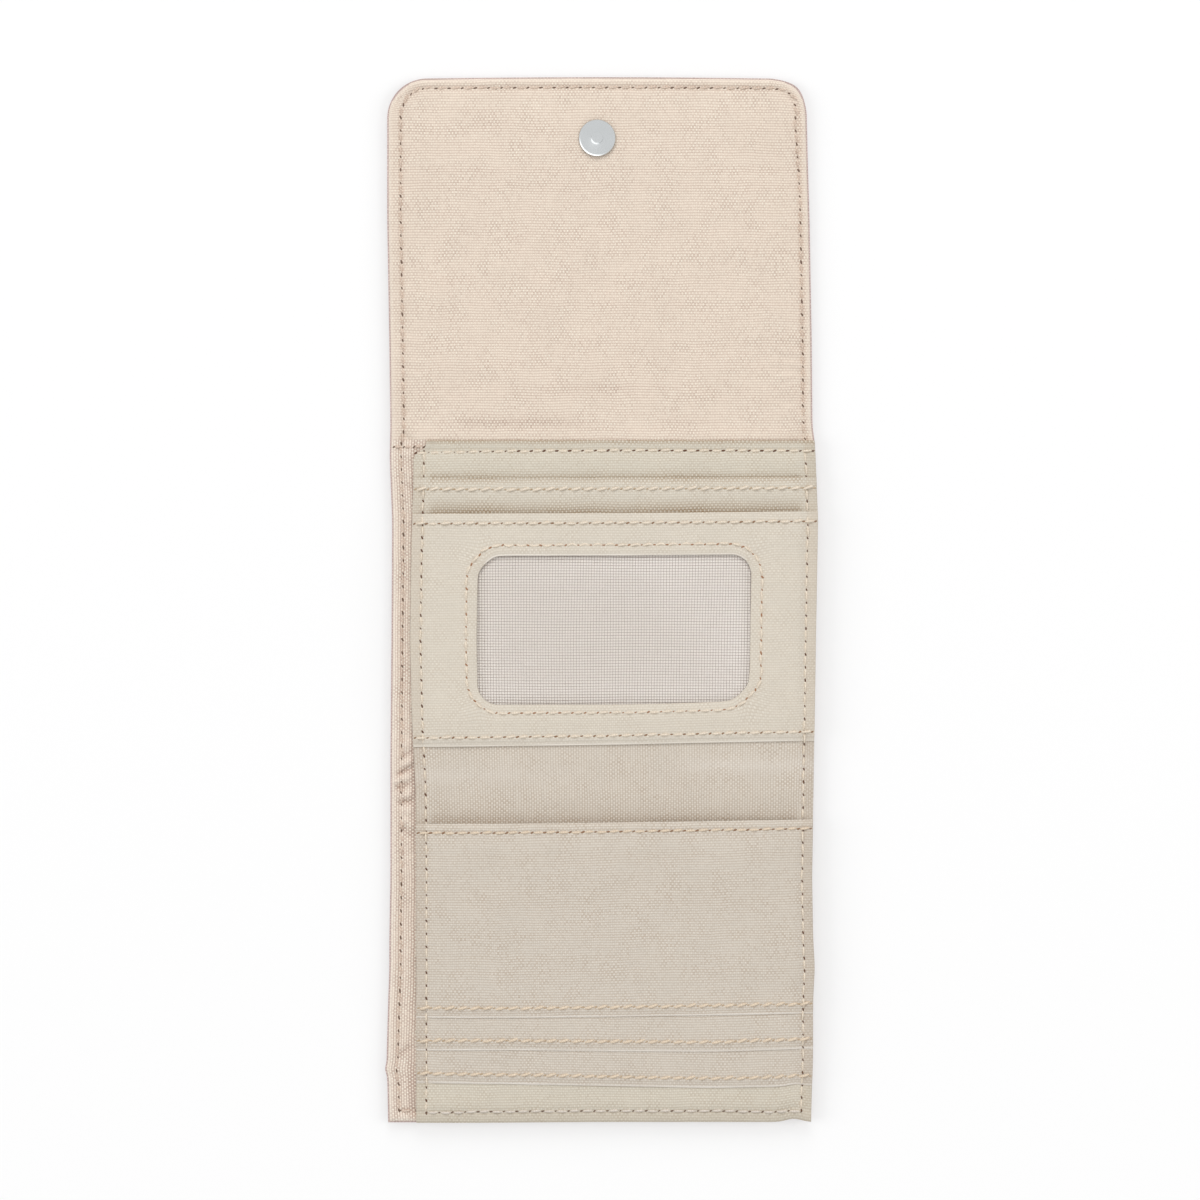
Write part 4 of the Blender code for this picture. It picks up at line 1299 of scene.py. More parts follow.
def painted_shade_beyond_seams(x, y):
    """Painted shade outside the side and bottom seams, where the cloth slopes down to the rim."""
    right = 0.13 * ramp(from_right(x) - RIGHT_SEAM, 0.6, -0.2)
    left = 0.12 * ramp(from_left(x) - LEFT_SEAM, 0.3, -0.3) * ramp(y, 42, 30)
    below = 0.10 * ramp(y - BOTTOM_Y - BOTTOM_SEAM, 0.6, -0.2)
    return np.maximum(np.maximum(right, left), below)


def painted_light_behind_net(x, y):
    """Painted light on the rear pocket's plain back, seen pale through the window's net."""
    inside = -window_distance(x, y)
    # A painted sheen band running across the window
    glow = bump(0.8 * x + 0.6 * y, 22.0, 14) * ramp(y, WINDOW_LOW, WINDOW_LOW + 16)
    beside = least(x - WINDOW_LEFT, WINDOW_RIGHT - x, y - WINDOW_LOW)
    # Painted paler away from the window's sides and lower edge
    even = 0.66 + 0.14 * ramp(beside, 0, 4) + 0.14 * glow + 0.05 * drift(x, y, 18, 404)
    return even * ramp(inside, -2.5, -1.0)


def painted_sheen_edge(*edges):
    """A mask of painted sheen: a pale line along folded edges."""
    def mask(x, y):
        near = least(*[np.abs(edge(x, y)) for edge in edges])
        lively = 0.7 + 0.3 * drift(x, y, 9, 401)
        return lively * (1 - ramp(near, 0.15, 0.75))
    return mask


def painted_sheen_on_folds(x, y):
    """Painted sheen: the window pocket's folded edges and its turned end are painted paler."""
    edges = painted_sheen_edge(
        lambda x, y: y - ID_END,
        lambda x, y: window_distance(x, y) + 9 * ramp(y, WINDOW_HIGH - 1, WINDOW_HIGH - 5),
    )
    hem = 0.16 * ramp(y, ID_END + END_SEAM - 0.2, ID_END + END_SEAM - 1.0)
    return np.maximum(edges(x, y), hem)


def one_cloth(x, y):
    return np.full_like(x, CLOTH)


def hem_cloth(mouth, inward):
    """Two cloths thick in the hem along a mouth, one elsewhere."""
    def thickness(x, y):
        inside = (y - mouth) * inward
        doubled = CLOTH * (1 - ramp(inside, HEM - 0.3, HEM + 0.3))
        return CLOTH + doubled - 1.6 * PRESSED * ramp(inside, PRESSED_REACH, 0.1)
    return thickness


def front_slot_cloth(x, y):
    """The front slot is thicker beyond the seam at its end, where the cloth is turned."""
    seam = FRONT_END - END_SEAM
    turned = CLOTH + 0.35 * ramp(y, seam - 0.4, seam + 0.2)
    return np.maximum(hem_cloth(FRONT_MOUTH, 1)(x, y), turned)


def window_pocket_cloth(x, y):
    """The window pocket's hem and cloth, pressed thinner along its edges."""
    edge = least(window_distance(x, y), ID_MOUTH - y, y - ID_END)
    return ID_THICKNESS - PRESSED * ramp(edge, PRESSED_REACH, 0.1)


def left_edge(x, y):
    return from_left(x)


def panel_xs():
    dense = [CARD_LEFT, CARD_LEFT + LEFT_SEAM, HALF_WIDTH - RIGHT_SEAM, HALF_WIDTH]
    return spread(CARD_LEFT, HALF_WIDTH, FINE, dense, fine=0.15)


def leaning(lie, *shifts):
    """Cloth lying a little out of square: it shifts along Y, evenly spaced places given."""
    places = np.linspace(CARD_LEFT, HALF_WIDTH, len(shifts))
    dense = np.linspace(CARD_LEFT - 10, HALF_WIDTH + 10, 121)
    soft = np.interp(dense, places, shifts)
    for _ in range(24):
        soft[1:-1] = (soft[:-2] + soft[1:-1] + soft[2:]) / 3

    def placed(x, y):
        new_x, new_y = lie(x, y)
        return new_x, new_y + np.interp(x, dense, soft)
    return placed


def down_to_facing(lower):
    """The linings' turned edges meet the facing outside the seams that hold them down."""
    def lowered(x, y):
        beyond = np.minimum(from_right(x) - RIGHT_SEAM, y - BOTTOM_Y - BOTTOM_SEAM)
        facing = shell_top(np.minimum(x, HALF_WIDTH - 1.0), np.maximum(y, BOTTOM_Y + 1.0))
        plain = lower(x, y)
        meeting = np.minimum(plain, facing + 0.06)
        return plain + (meeting - plain) * ramp(beyond, 1.4, 0.2)
    return lowered


def declare_lining(sheet, length, rests_on, *nodes, cut_out=0.0):
    """Hide the CAD nodes that a sheet of the card panel stands for; the size of its cut is worked
    out but not used.
    """
    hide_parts(*nodes)
    width, height = (HALF_WIDTH - CARD_LEFT) * MM, length * MM
    more = {"area": width * height - cut_out} if cut_out else {}


def make_linings():
    """The banknote compartment's front, in two stretches."""
    for name, stretch, y_low, y_high, dense, nodes in (
        ("upper", "waist", FOLD_SPLIT, PANEL_TOP, [PANEL_TOP, PANEL_TOP - 2.7],
         ("middle_banknote_lining", "fold_spine_lining")),
        ("lower", "lower", BOTTOM_Y, FOLD_SPLIT, [BOTTOM_Y, BOTTOM_Y + BOTTOM_SEAM],
         ("lower_banknote_lining",)),
    ):
        ys = spread(y_low, y_high, FINE, dense, fine=0.15)
        edges = [left_edge]
        if name == "upper":
            edges.append(lambda x, y: PANEL_TOP - y)
        upper, lower = layer_faces(lining_top, one_cloth, edges)
        sheet = sheet_of_cloth(
            "banknote_lining_" + name, (panel_xs(), ys), upper, down_to_facing(lower),
            lie_of_lining, taupe_panel,
            marks={"strained": strain_and_shade_of_lining, "shaded": painted_shade_beyond_seams, "folded": sheen_at_fold},
        )
        second_look(sheet, taupe_fold, lambda x, y: (y < REAR_END + 2) & (y > FRONT_END - 2))
        bend(sheet, stretch)
        declare_lining(sheet, y_high - y_low, "middle_facing", *nodes)


def make_rear_pocket():
    """The card pocket behind the window pocket."""
    ys = spread(REAR_END, REAR_MOUTH, FINE, [REAR_MOUTH, REAR_MOUTH - HEM], fine=0.12)
    edges = [left_edge, lambda x, y: REAR_MOUTH - y]
    upper, lower = layer_faces(rear_top, hem_cloth(REAR_MOUTH, -1), edges)
    sheet = sheet_of_cloth(
        "rear_card_pocket_cloth", (panel_xs(), ys), upper, lower,
        leaning(lie_of_panel, *REAR_LEAN), taupe_rear,
        marks={"strained": strain_and_shade_of_lining, "shaded": painted_shade_beyond_seams, "folded": painted_light_behind_net},
    )
    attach(sheet, "middle_panel")
    declare_lining(sheet, REAR_MOUTH - REAR_END, "banknote_lining_upper", "rear_card_pocket")


def window_place(x, y):
    """Draw the grid lines round the window's corners into its round outline."""
    dx = (np.abs(x - WINDOW_X) - WINDOW_STRAIGHT_X) / WINDOW_RADIUS
    dy = (np.abs(y - WINDOW_Y) - WINDOW_STRAIGHT_Y) / WINDOW_RADIUS
    a, b = np.clip(dx, 0, 1), np.clip(dy, 0, 1)
    shift_x = a * np.sqrt(1 - b * b / 2) - a
    shift_y = b * np.sqrt(1 - a * a / 2) - b
    beyond = np.hypot(np.maximum(dx - 1, 0), np.maximum(dy - 1, 0)) * WINDOW_RADIUS
    fade = (1 - ramp(beyond, 0, 6.5)) * WINDOW_RADIUS
    return x + np.sign(x - WINDOW_X) * shift_x * fade, y + np.sign(y - WINDOW_Y) * shift_y * fade


def id_grid():
    """Grid lines of the window pocket, with one on each side of the window."""
    lines = []
    for marks, seams in (
        ([CARD_LEFT, WINDOW_LEFT, WINDOW_RIGHT, HALF_WIDTH],
         [CARD_LEFT + LEFT_SEAM, HALF_WIDTH - RIGHT_SEAM]),
        ([ID_END, WINDOW_LOW, WINDOW_HIGH, ID_MOUTH], [ID_END + END_SEAM, ID_MOUTH - HEM]),
    ):
        parts = [spread(a, b, FINE, marks + seams, fine=0.12) for a, b in zip(marks, marks[1:])]
        lines.append(np.concatenate([part[:-1] for part in parts] + [[marks[-1]]]))
    return lines


def make_id_pocket():
    """The pocket with the window."""
    xs, ys = id_grid()
    middle_x, middle_y = np.meshgrid((xs[:-1] + xs[1:]) / 2, (ys[:-1] + ys[1:]) / 2)
    inside_x = (middle_x > WINDOW_LEFT) & (middle_x < WINDOW_RIGHT)
    inside_y = (middle_y > WINDOW_LOW) & (middle_y < WINDOW_HIGH)
    edges = [left_edge, lambda x, y: ID_MOUTH - y, lambda x, y: y - ID_END, window_distance]
    upper, lower = layer_faces(id_top, window_pocket_cloth, edges)
    sheet = sheet_of_cloth(
        "id_pocket_cloth", (xs, ys), upper, lower, leaning(lie_of_window_pocket, *ID_LEAN),
        taupe_id, keep=~(inside_x & inside_y), place=window_place,
        marks={"folded": painted_sheen_on_folds, "shaded": painted_shade_beyond_seams},
    )
    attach(sheet, "middle_panel")
    opening = (WINDOW_RIGHT - WINDOW_LEFT) * (WINDOW_HIGH - WINDOW_LOW) * MM * MM
    declare_lining(sheet, ID_MOUTH - ID_END, "rear_card_pocket_cloth", "id_pocket_front",
                   cut_out=opening)


def make_lower_pockets():
    """The three card slots of the lower panel."""
    below = "banknote_lining_lower"
    for which, (_, mouth, end) in LOWER_POCKETS.items():
        ys = spread(mouth, end, FINE, [mouth, mouth + HEM, end, FRONT_END - END_SEAM], fine=0.12)
        edges = [left_edge, lambda x, y, m=mouth: y - m, lambda x, y, e=end: e - y]
        thickness = front_slot_cloth if which == "front" else hem_cloth(mouth, 1)
        upper, lower = layer_faces(lower_top(which), thickness, edges)
        sheet = sheet_of_cloth(
            "card_slot_" + which, (panel_xs(), ys), upper, lower,
            leaning(lie_of_panel, *LOWER_LEANS[which]), taupe_lower,
            marks={"folded": painted_sheen_edge(lambda x, y, m=mouth: y - m), "shaded": painted_shade_beyond_seams},
        )
        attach(sheet, "lower_panel")
        declare_lining(sheet, end - mouth, below, "card_pocket_" + which)
        below = sheet.name


# Geometry Nodes: rows of stitches and the woven net

def stitch_tree():
    """A row of slanted stitches with a needle hole at each end, along a path."""
    t, given, out = node_group("Row of stitches", "GeometryNodeTree", [
        ("Geometry", "Geometry"), ("Pitch", "Float"), ("Thread radius", "Float"),
        ("Slant", "Float"), ("Hole", "Float"), ("Thread", "Material"),
        ("Hole look", "Material"), ("Seed", "Int"),
    ], [("Geometry", "Geometry")])
    pitch, radius = given["Pitch"], given["Thread radius"]
    path = t.add("GeometryNodeMeshToCurve", {"Mesh": given["Geometry"]})
    spaced = t.add("GeometryNodeResampleCurve", {"Curve": path, "Length": pitch}, mode="LENGTH")
    ahead = t.add("FunctionNodeAlignRotationToVector",
                  {"Vector": t.add("GeometryNodeInputTangent")}, axis="X")

    def luck(low, high, seed):
        return t.add("FunctionNodeRandomValue", {2: low, 3: high, "Seed": seed}, 1,
                     data_type="FLOAT")

    def turned_by(angle):
        """The path's direction, turned about the upright."""
        turn = t.add("FunctionNodeAxisAngleToRotation", {"Axis": (0, 0, 1), "Angle": angle})
        return t.add("FunctionNodeRotateRotation", {"Rotation": ahead, "Rotate By": turn},
                     rotation_space="LOCAL")

    rise = pitch * (given["Slant"] * 0.38)
    sunk = radius * -0.7
    loop = t.add("GeometryNodeCurveQuadraticBezier", {
        "Resolution": 7,
        "Start": t.vector(pitch * 0.12, rise * -1.0, sunk),
        "Middle": t.vector(pitch * 0.5, 0.0, radius * 2.3),
        "End": t.vector(pitch * 0.88, rise, sunk),
    })
    along = t.add("GeometryNodeSplineParameter", output="Factor")
    swell = t.math("SINE", along * math.pi) * 0.38 + 0.62
    last = t.add("GeometryNodeCurveEndpointSelection", {"Start Size": 0, "End Size": 1})
    threads = t.instances(
        spaced, t.tube(loop, 6, radius, Scale=swell),
        Selection=t.add("FunctionNodeBooleanMath", {0: last}, operation="NOT"),
        Rotation=turned_by(luck(-0.07, 0.07, given["Seed"])),
    )
    # Each needle hole is a flat dark drop: painted shade where the thread pierces the cloth
    drop = t.add("GeometryNodeMeshUVSphere", {"Segments": 8, "Rings": 4, "Radius": radius})
    wide = luck(0.75, 1.25, given["Seed"] + 7.0) * given["Hole"]
    holes = t.instances(
        spaced, drop, Rotation=turned_by(luck(0.1, 0.75, given["Seed"] + 13.0)),
        Scale=t.vector(wide * 1.95, wide * 0.9, 0.5),
    )
    t.feed(out, {0: t.joined([t.dyed(threads, given["Thread"]),
                              t.dyed(holes, given["Hole look"])])})
    return t.tree


def net_tree():
    """A plain-woven net: strands each way, passing over and under in turn."""
    t, given, out = node_group("Woven net", "GeometryNodeTree", [
        ("Geometry", "Geometry"), ("Width", "Float"), ("Height", "Float"), ("Columns", "Int"),
        ("Rows", "Int"), ("Strand radius", "Float"), ("Look", "Material"),
    ], [("Geometry", "Geometry")])
    sides = [(given["Width"], given["Columns"]), (given["Height"], given["Rows"])]

    def strands(way, thickness, lift):
        """The strands that stand side by side along X, way 0, or along Y, way 1."""
        span, count = sides[way]
        length, crossings = sides[1 - way]

        def off(value, axis):
            return t.vector(*[value if axis == side else 0.0 for side in (0, 1)])

        line = t.add("GeometryNodeMeshLine", {
            "Count": count, "Start Location": off(span * -0.5, way),
            "Offset": off(span / (count - 1.0), way),
        })
        one = t.add("GeometryNodeCurvePrimitiveLine", {
            "Start": off(length * -0.5, 1 - way), "End": off(length * 0.5, 1 - way),
        })
        knots = t.add("GeometryNodeResampleCurve", {"Curve": one, "Count": crossings})
        owner = t.add("GeometryNodeCurveOfPoint", output="Curve Index")
        odd = t.math("MODULO", owner + owner["Index in Curve"], 2.0)
        up = (odd * 2.0 - 1.0) * (given["Strand radius"] * lift)
        woven = t.add("GeometryNodeSetPosition", {"Geometry": t.instances(line, knots),
                                                  "Offset": t.vector(0.0, 0.0, up)})
        return t.tube(woven, 4, given["Strand radius"] * thickness)

    both = t.joined([strands(0, 0.88, 0.8), strands(1, 1.12, -0.8)])
    real = t.add("GeometryNodeRealizeInstances", {"Geometry": both})
    t.feed(out, {0: t.dyed(real, given["Look"])})
    return t.tree


STITCHES = stitch_tree()
NET = net_tree()


def grown(name, start_mesh, tree, values):
    """Run a geometry tree on a mesh and keep the result as a plain mesh."""
    carrier = new_piece(name + "_path", start_mesh)
    change = carrier.modifiers.new("grow", "NODES")
    change.node_group = tree
    for socket in tree.interface.items_tree:
        if socket.name in values:
            change[socket.identifier] = values[socket.name]
    seen = carrier.evaluated_get(bpy.context.evaluated_depsgraph_get())
    mesh = bpy.data.meshes.new_from_object(seen)
    mesh.name = name
    piece = new_piece(name, mesh)
    carrier.modifiers.clear()
    bpy.data.objects.remove(carrier, do_unlink=True)
    return piece


def sew(name, x, y, height, lie, thread, hole, on, slot="taupe_lining", pitch=LINING_PITCH,
        slant=0.03, hole_size=0.9, radius=THREAD_RADIUS, seed=3, under=False):
    """A row of stitches along places of the pattern, on the cloth's upper or under side.

    on is a stretch, in which case the row is baked in place, or the body that carries the row.
    """
    x, y = np.broadcast_arrays(np.asarray(x, float), np.asarray(y, float))
    lain_x, lain_y = lie(x, y)
    side = -1 if under else 1
    points = np.stack([lain_x, lain_y, side * height(x, y) + 0.02], axis=-1) * MM
    path = bpy.data.meshes.new(name)
    edges = [(i, i + 1) for i in range(len(points) - 1)]
    path.from_pydata([tuple(point) for point in points], edges, [])
    row = grown(name, path, STITCHES, {
        "Pitch": pitch * MM, "Thread radius": radius * MM, "Slant": slant, "Hole": hole_size,
        "Thread": thread, "Hole look": hole, "Seed": seed,
    })
    if under:
        row.data.transform(Matrix.Diagonal((1, 1, -1, 1)))
        row.data.flip_normals()
    if on in STRETCHES:
        bend(row, on)
    else:
        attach(row, on)


def straight(start, end, count=120):
    return np.linspace(start, end, count)


def rim_path(y_low):
    """The stitching line round the flap, from its left side to its right side."""
    left = HALF_WIDTH - LEFT_STITCH
    right = HALF_WIDTH - RIGHT_STITCH
    centre = HALF_WIDTH - CORNER_RADIUS
    high = TOP_Y - TOP_STITCH
    low = TOP_Y - CORNER_RADIUS
    turn = np.linspace(0, math.pi / 2, 16)
    rise = straight(y_low, low, 80)
    left_x = -centre - (left - centre) * np.cos(turn)
    square = 0.72
    right_x = centre + (right - centre) * np.cos(turn[::-1]).clip(0) ** square
    turned_y = low + (high - low) * np.sin(turn)
    squarer_y = low + (high - low) * np.sin(turn) ** square
    across = straight(-centre, centre)
    x = np.concatenate([np.full(79, -left), left_x, across[1:-1], right_x, np.full(79, right)])
    y = np.concatenate([rise[:-1], turned_y, np.full(118, high), squarer_y[::-1], rise[::-1][1:]])
    return x - 0.8 * ramp(x, 40, 50) * ramp(y, TOP_Y - 34, TOP_Y - 9), y


def strip_x(y):
    """The strip's stitching line wanders a little along the wallet."""
    on_body = ramp(y, NECK_FOLD + 2, NECK_FOLD - 2)
    inset = LEFT_STITCH + (STRIP_STITCH - LEFT_STITCH) * on_body
    return -HALF_WIDTH + inset + 0.12 * drift(y, y * 0, 30, 201)


def make_shell_stitches():
    """Peach thread round the flap and down the strip beside the card panel."""
    def row(name, x, y, on, seed, slot=None, pitch=STITCH_PITCH, slant=0.16, hole_size=1.15,
            radius=SHELL_THREAD):
        sew(name, x, y, shell_top, facing_lie, peach_thread, grey_hole, on, slot, pitch, slant,
            hole_size, radius, seed)

    row("flap_edge_stitches", *rim_path(FLAP_SPLIT), "flap", 5)
    for stretch, low, high, seed in (
        ("neck", MIDDLE_SPLIT, FLAP_SPLIT, 6),
        ("waist", FOLD_SPLIT, MIDDLE_SPLIT, 7),
        ("lower", BOTTOM_Y + 3.0, FOLD_SPLIT, 8),
    ):
        y = straight(high, low)
        row(stretch + "_strip_stitches", strip_x(y), y, stretch, seed, "peach_cloth")
    row("neck_right_stitches", HALF_WIDTH - RIGHT_STITCH,
        straight(FLAP_SPLIT, PANEL_TOP + 0.5, 20), "neck", 9)
    row("strip_end_stitches", straight(-HALF_WIDTH + 3.2, CARD_LEFT + 1.5, 20),
        BOTTOM_Y + BOTTOM_SEAM, "lower_panel", 10, None, STITCH_PITCH, 0.1, 0.8, THREAD_RADIUS)
    row("strip_cross_stitches", straight(-HALF_WIDTH + 0.9, CARD_LEFT + 3.0, 20),
        PANEL_TOP - 1.8, "neck", 11, None, STITCH_PITCH * 0.62, 0.1, 0.8, THREAD_RADIUS)


def make_outer_stitches():
    """The shell's seams where they show on its outer cloth."""
    right = HALF_WIDTH - RIGHT_STITCH
    rows = [("flap", "rim", *rim_path(FLAP_SPLIT))]
    for stretch, low, high in (
        ("neck", MIDDLE_SPLIT, FLAP_SPLIT),
        ("waist", FOLD_SPLIT, MIDDLE_SPLIT),
        ("lower", BOTTOM_Y + BOTTOM_SEAM, FOLD_SPLIT),
    ):
        y = straight(high, low)
        rows += [(stretch, "left", strip_x(y), y), (stretch, "right", right, y)]
    rows.append(("lower", "end", straight(-HALF_WIDTH + STRIP_STITCH, right),
                 BOTTOM_Y + BOTTOM_SEAM))
    for number, (stretch, side, x, y) in enumerate(rows):
        sew(f"{stretch}_outer_{side}_stitches", x, y, shell_back, lie_of_shell, peach_thread,
            grey_hole, stretch, "peach_cloth", STITCH_PITCH, 0.08, 0.9, SHELL_THREAD,
            40 + number, under=True)


def panel_surface(x, y):
    """Height of whichever layer of the card panel lies on top at a place."""
    height = lining_top(x, y)
    for low, high, top in (
        (ID_MOUTH, REAR_MOUTH, rear_top), (ID_END, ID_MOUTH, id_top),
        (BACK_MOUTH, CENTRE_MOUTH, lower_top("back")),
        (CENTRE_MOUTH, FRONT_MOUTH, lower_top("centre")),
        (FRONT_MOUTH, FRONT_END, lower_top("front")),
    ):
        height = np.where((y >= low) & (y <= high), top(x, y), height)
    return height


def make_panel_stitches():
    """Cream thread through the card panel's layers."""
    left = CARD_LEFT + LEFT_SEAM
    right = HALF_WIDTH - RIGHT_SEAM
    low = BOTTOM_Y + BOTTOM_SEAM
    for panel, stretch, start, end, left_seed, right_seed in (
        ("upper", "waist", PANEL_TOP - TOP_SEAM, FOLD_SPLIT, 21, 22),
        ("lower", "lower", FOLD_SPLIT, low - 0.3, 23, 33),
    ):
        y = straight(start, end, 200)
        for side, x, seed in (("left", left, left_seed), ("right", right, right_seed)):
            sew(f"{panel}_{side}_seam", x, y, panel_surface, lie_of_panel, cream_thread,
                brown_hole, stretch, radius=SIDE_THREAD, seed=seed)
    x = straight(left, right, 200)
    y = low - 0.15 + 0.25 * ramp(x, CARD_LEFT, -30) - 0.25 * ramp(x, 30, 50)
    y = y - 0.6 * bump(x, 55.5, 3)
    sew("lower_end_seam", x, y, panel_surface, lie_of_panel, grey_thread, grey_hole,
        "lower_panel", hole_size=0.62, radius=0.36, seed=34)

    # Rows across the panel: name, place, surface, body, holes, their size, slant, lean, seed
    tops = {which: lower_top(which) for which in LOWER_POCKETS}
    rows = [
        ("lining_top_seam", PANEL_TOP - TOP_SEAM, lining_top, "middle_panel", brown_hole, 0.85,
         0.05, (-0.75, -0.2, 0.05, 0.0, -0.1), 24),
        ("rear_pocket_hem_seam", REAR_MOUTH - REAR_HEM, rear_top, "middle_panel", hidden_hole,
         0.6, 0.28, REAR_LEAN, 25),
        ("id_pocket_hem_seam", ID_MOUTH - HEM, id_top, "middle_panel", faint_hole, 0.72, 0.08,
         ID_LEAN, 26),
        ("id_pocket_end_seam", ID_END + END_SEAM, id_top, "middle_panel", faint_hole, 0.72,
         0.08, ID_LEAN, 27),
        ("card_slots_end_seam", FRONT_END - END_SEAM, tops["front"], "lower_panel", faint_hole,
         0.85, 0.06, LOWER_LEANS["front"], 28),
    ]
    for which, mouth, seed in (("front", FRONT_MOUTH, 29), ("centre", CENTRE_MOUTH, 30),
                               ("back", BACK_MOUTH, 31)):
        rows.append((which + "_slot_hem_seam", mouth + HEM, tops[which], "lower_panel",
                     hidden_hole, 0.6, 0.26, LOWER_LEANS[which], seed))
    for name, y, height, body, hole, hole_size, slant, lean, seed in rows:
        x = straight(CARD_LEFT + 0.6, HALF_WIDTH - 0.7, 160)
        lie = lie_of_window_pocket if height is id_top else lie_of_panel
        sew(name, x, y, height, leaning(lie, *lean),
            warm_thread if "slot" in name else cream_thread, hole, body, slant=slant,
            hole_size=hole_size, radius=HEM_THREAD if slant > 0.2 else THREAD_RADIUS, seed=seed)


def make_window_seam():
    """The ring of stitches round the window."""
    below = window_hem(WINDOW_LOW)
    radius = WINDOW_RADIUS + WINDOW_HEM + 0.6
    low_x, high_x = WINDOW_LEFT - WINDOW_HEM + radius, WINDOW_RIGHT + WINDOW_HEM - radius
    low_y, high_y = WINDOW_LOW - below + radius, WINDOW_HIGH + WINDOW_HEM - radius
    xs, ys = [], []
    for centre_x, centre_y, start in (
        (high_x, high_y, 0), (low_x, high_y, 90), (low_x, low_y, 180), (high_x, low_y, 270)
    ):
        angle = np.radians(np.linspace(start, start + 90, 14))
        xs.append(centre_x + radius * np.cos(angle))
        ys.append(centre_y + radius * np.sin(angle))
    x = np.concatenate(xs + [xs[0][:1]])
    y = np.concatenate(ys + [ys[0][:1]])
    steps = np.concatenate([[0], np.cumsum(np.hypot(np.diff(x), np.diff(y)))])
    even = np.linspace(0, steps[-1], 400)
    sew("window_seam", np.interp(even, steps, x), np.interp(even, steps, y), id_top,
        leaning(lie_of_window_pocket, *ID_LEAN), cream_thread, warm_hole, "middle_panel",
        slant=0.08, hole_size=0.75, seed=32)


def make_net():
    """The fine net behind the window."""
    width = WINDOW_RIGHT - WINDOW_LEFT + 2 * NET_MARGIN
    height = WINDOW_HIGH - WINDOW_LOW + 2 * NET_MARGIN
    net = grown("window_net", bpy.data.meshes.new("net_start"), NET, {
        "Width": width * MM, "Height": height * MM,
        "Columns": int(width / NET_PITCH), "Rows": int(height / NET_PITCH),
        "Strand radius": NET_STRAND * MM, "Look": net_look,
    })
    points = np.zeros(len(net.data.vertices) * 3)
    net.data.vertices.foreach_get("co", points)
    points = points.reshape(-1, 3) / MM
    x = points[:, 0] + WINDOW_X
    y = points[:, 1] + WINDOW_Y
    bow = 0.25 * drift(x, y, 20, 301)
    lain_x, lain_y = lie_of_panel(x + bow, y + 0.2 * drift(y, x, 24, 302))
    inside = -window_distance(x, y)
    beside = np.minimum(x - WINDOW_LEFT, WINDOW_RIGHT - x)
    swell = 0.35 * ramp(inside, 1.5, 14) - 0.1 * bump(beside, 0.8, 1.6) * ramp(inside, 0.1, 1.0)
    hung = id_base(x, y) - ID_THICKNESS - 0.26 + swell + 0.04 * drift(x, y, 13, 303)
    z = points[:, 2] + np.maximum(hung, rear_base(x, y) + 0.2)
    moved = np.stack([lain_x, lain_y, z], axis=-1) * MM
    net.data.vertices.foreach_set("co", moved.astype(np.float32).ravel())
    net.data.update()
    # Painted shade: the net is painted darker towards its left, right and lower edges, and a little
    # everywhere
    shade = 0.55 * ramp(np.minimum(beside, y - WINDOW_LOW), 4.0, 0.0) ** 1.2
    set_mark(net, "shaded", shade + 0.05 + 0.05 * drift(x, y, 22, 305))
    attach(net, "middle_panel")
    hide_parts("id_window_mesh")


# The snap

def turn_metal(name, profile, centre, body, node):
    """A round nickel piece from a profile that runs from its axis out and down."""
    shape = bmesh.new()
    points = [shape.verts.new((x * MM, 0, z * MM)) for x, z in profile]
    for first, second in zip(points, points[1:]):
        shape.edges.new((first, second))
    bmesh.ops.spin(
        shape, geom=shape.verts[:] + shape.edges[:], cent=(0, 0, 0), axis=(0, 0, 1),
        angle=2 * math.pi, steps=96, use_merge=True, use_duplicate=False,
    )
    bmesh.ops.remove_doubles(shape, verts=shape.verts, dist=0.000002)
    bmesh.ops.recalc_face_normals(shape, faces=shape.faces)
    bmesh.ops.translate(shape, verts=shape.verts, vec=(centre[0] * MM, centre[1] * MM, 0))
    for face in shape.faces:
        face.smooth = True
    mesh = bpy.data.meshes.new(name)
    shape.to_mesh(mesh)
    shape.free()
    mesh.materials.append(nickel)
    mesh.set_sharp_from_angle(angle=math.radians(50))
    piece = new_piece(name, mesh)
    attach(piece, body)
    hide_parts(node)


def arc(x, z, radius, start, end, count):
    """Points of a profile round a centre, in degrees from straight up and outwards."""
    angles = np.radians(np.linspace(start, end, count))
    return [(x + radius * math.sin(angle), z + radius * math.cos(angle)) for angle in angles]


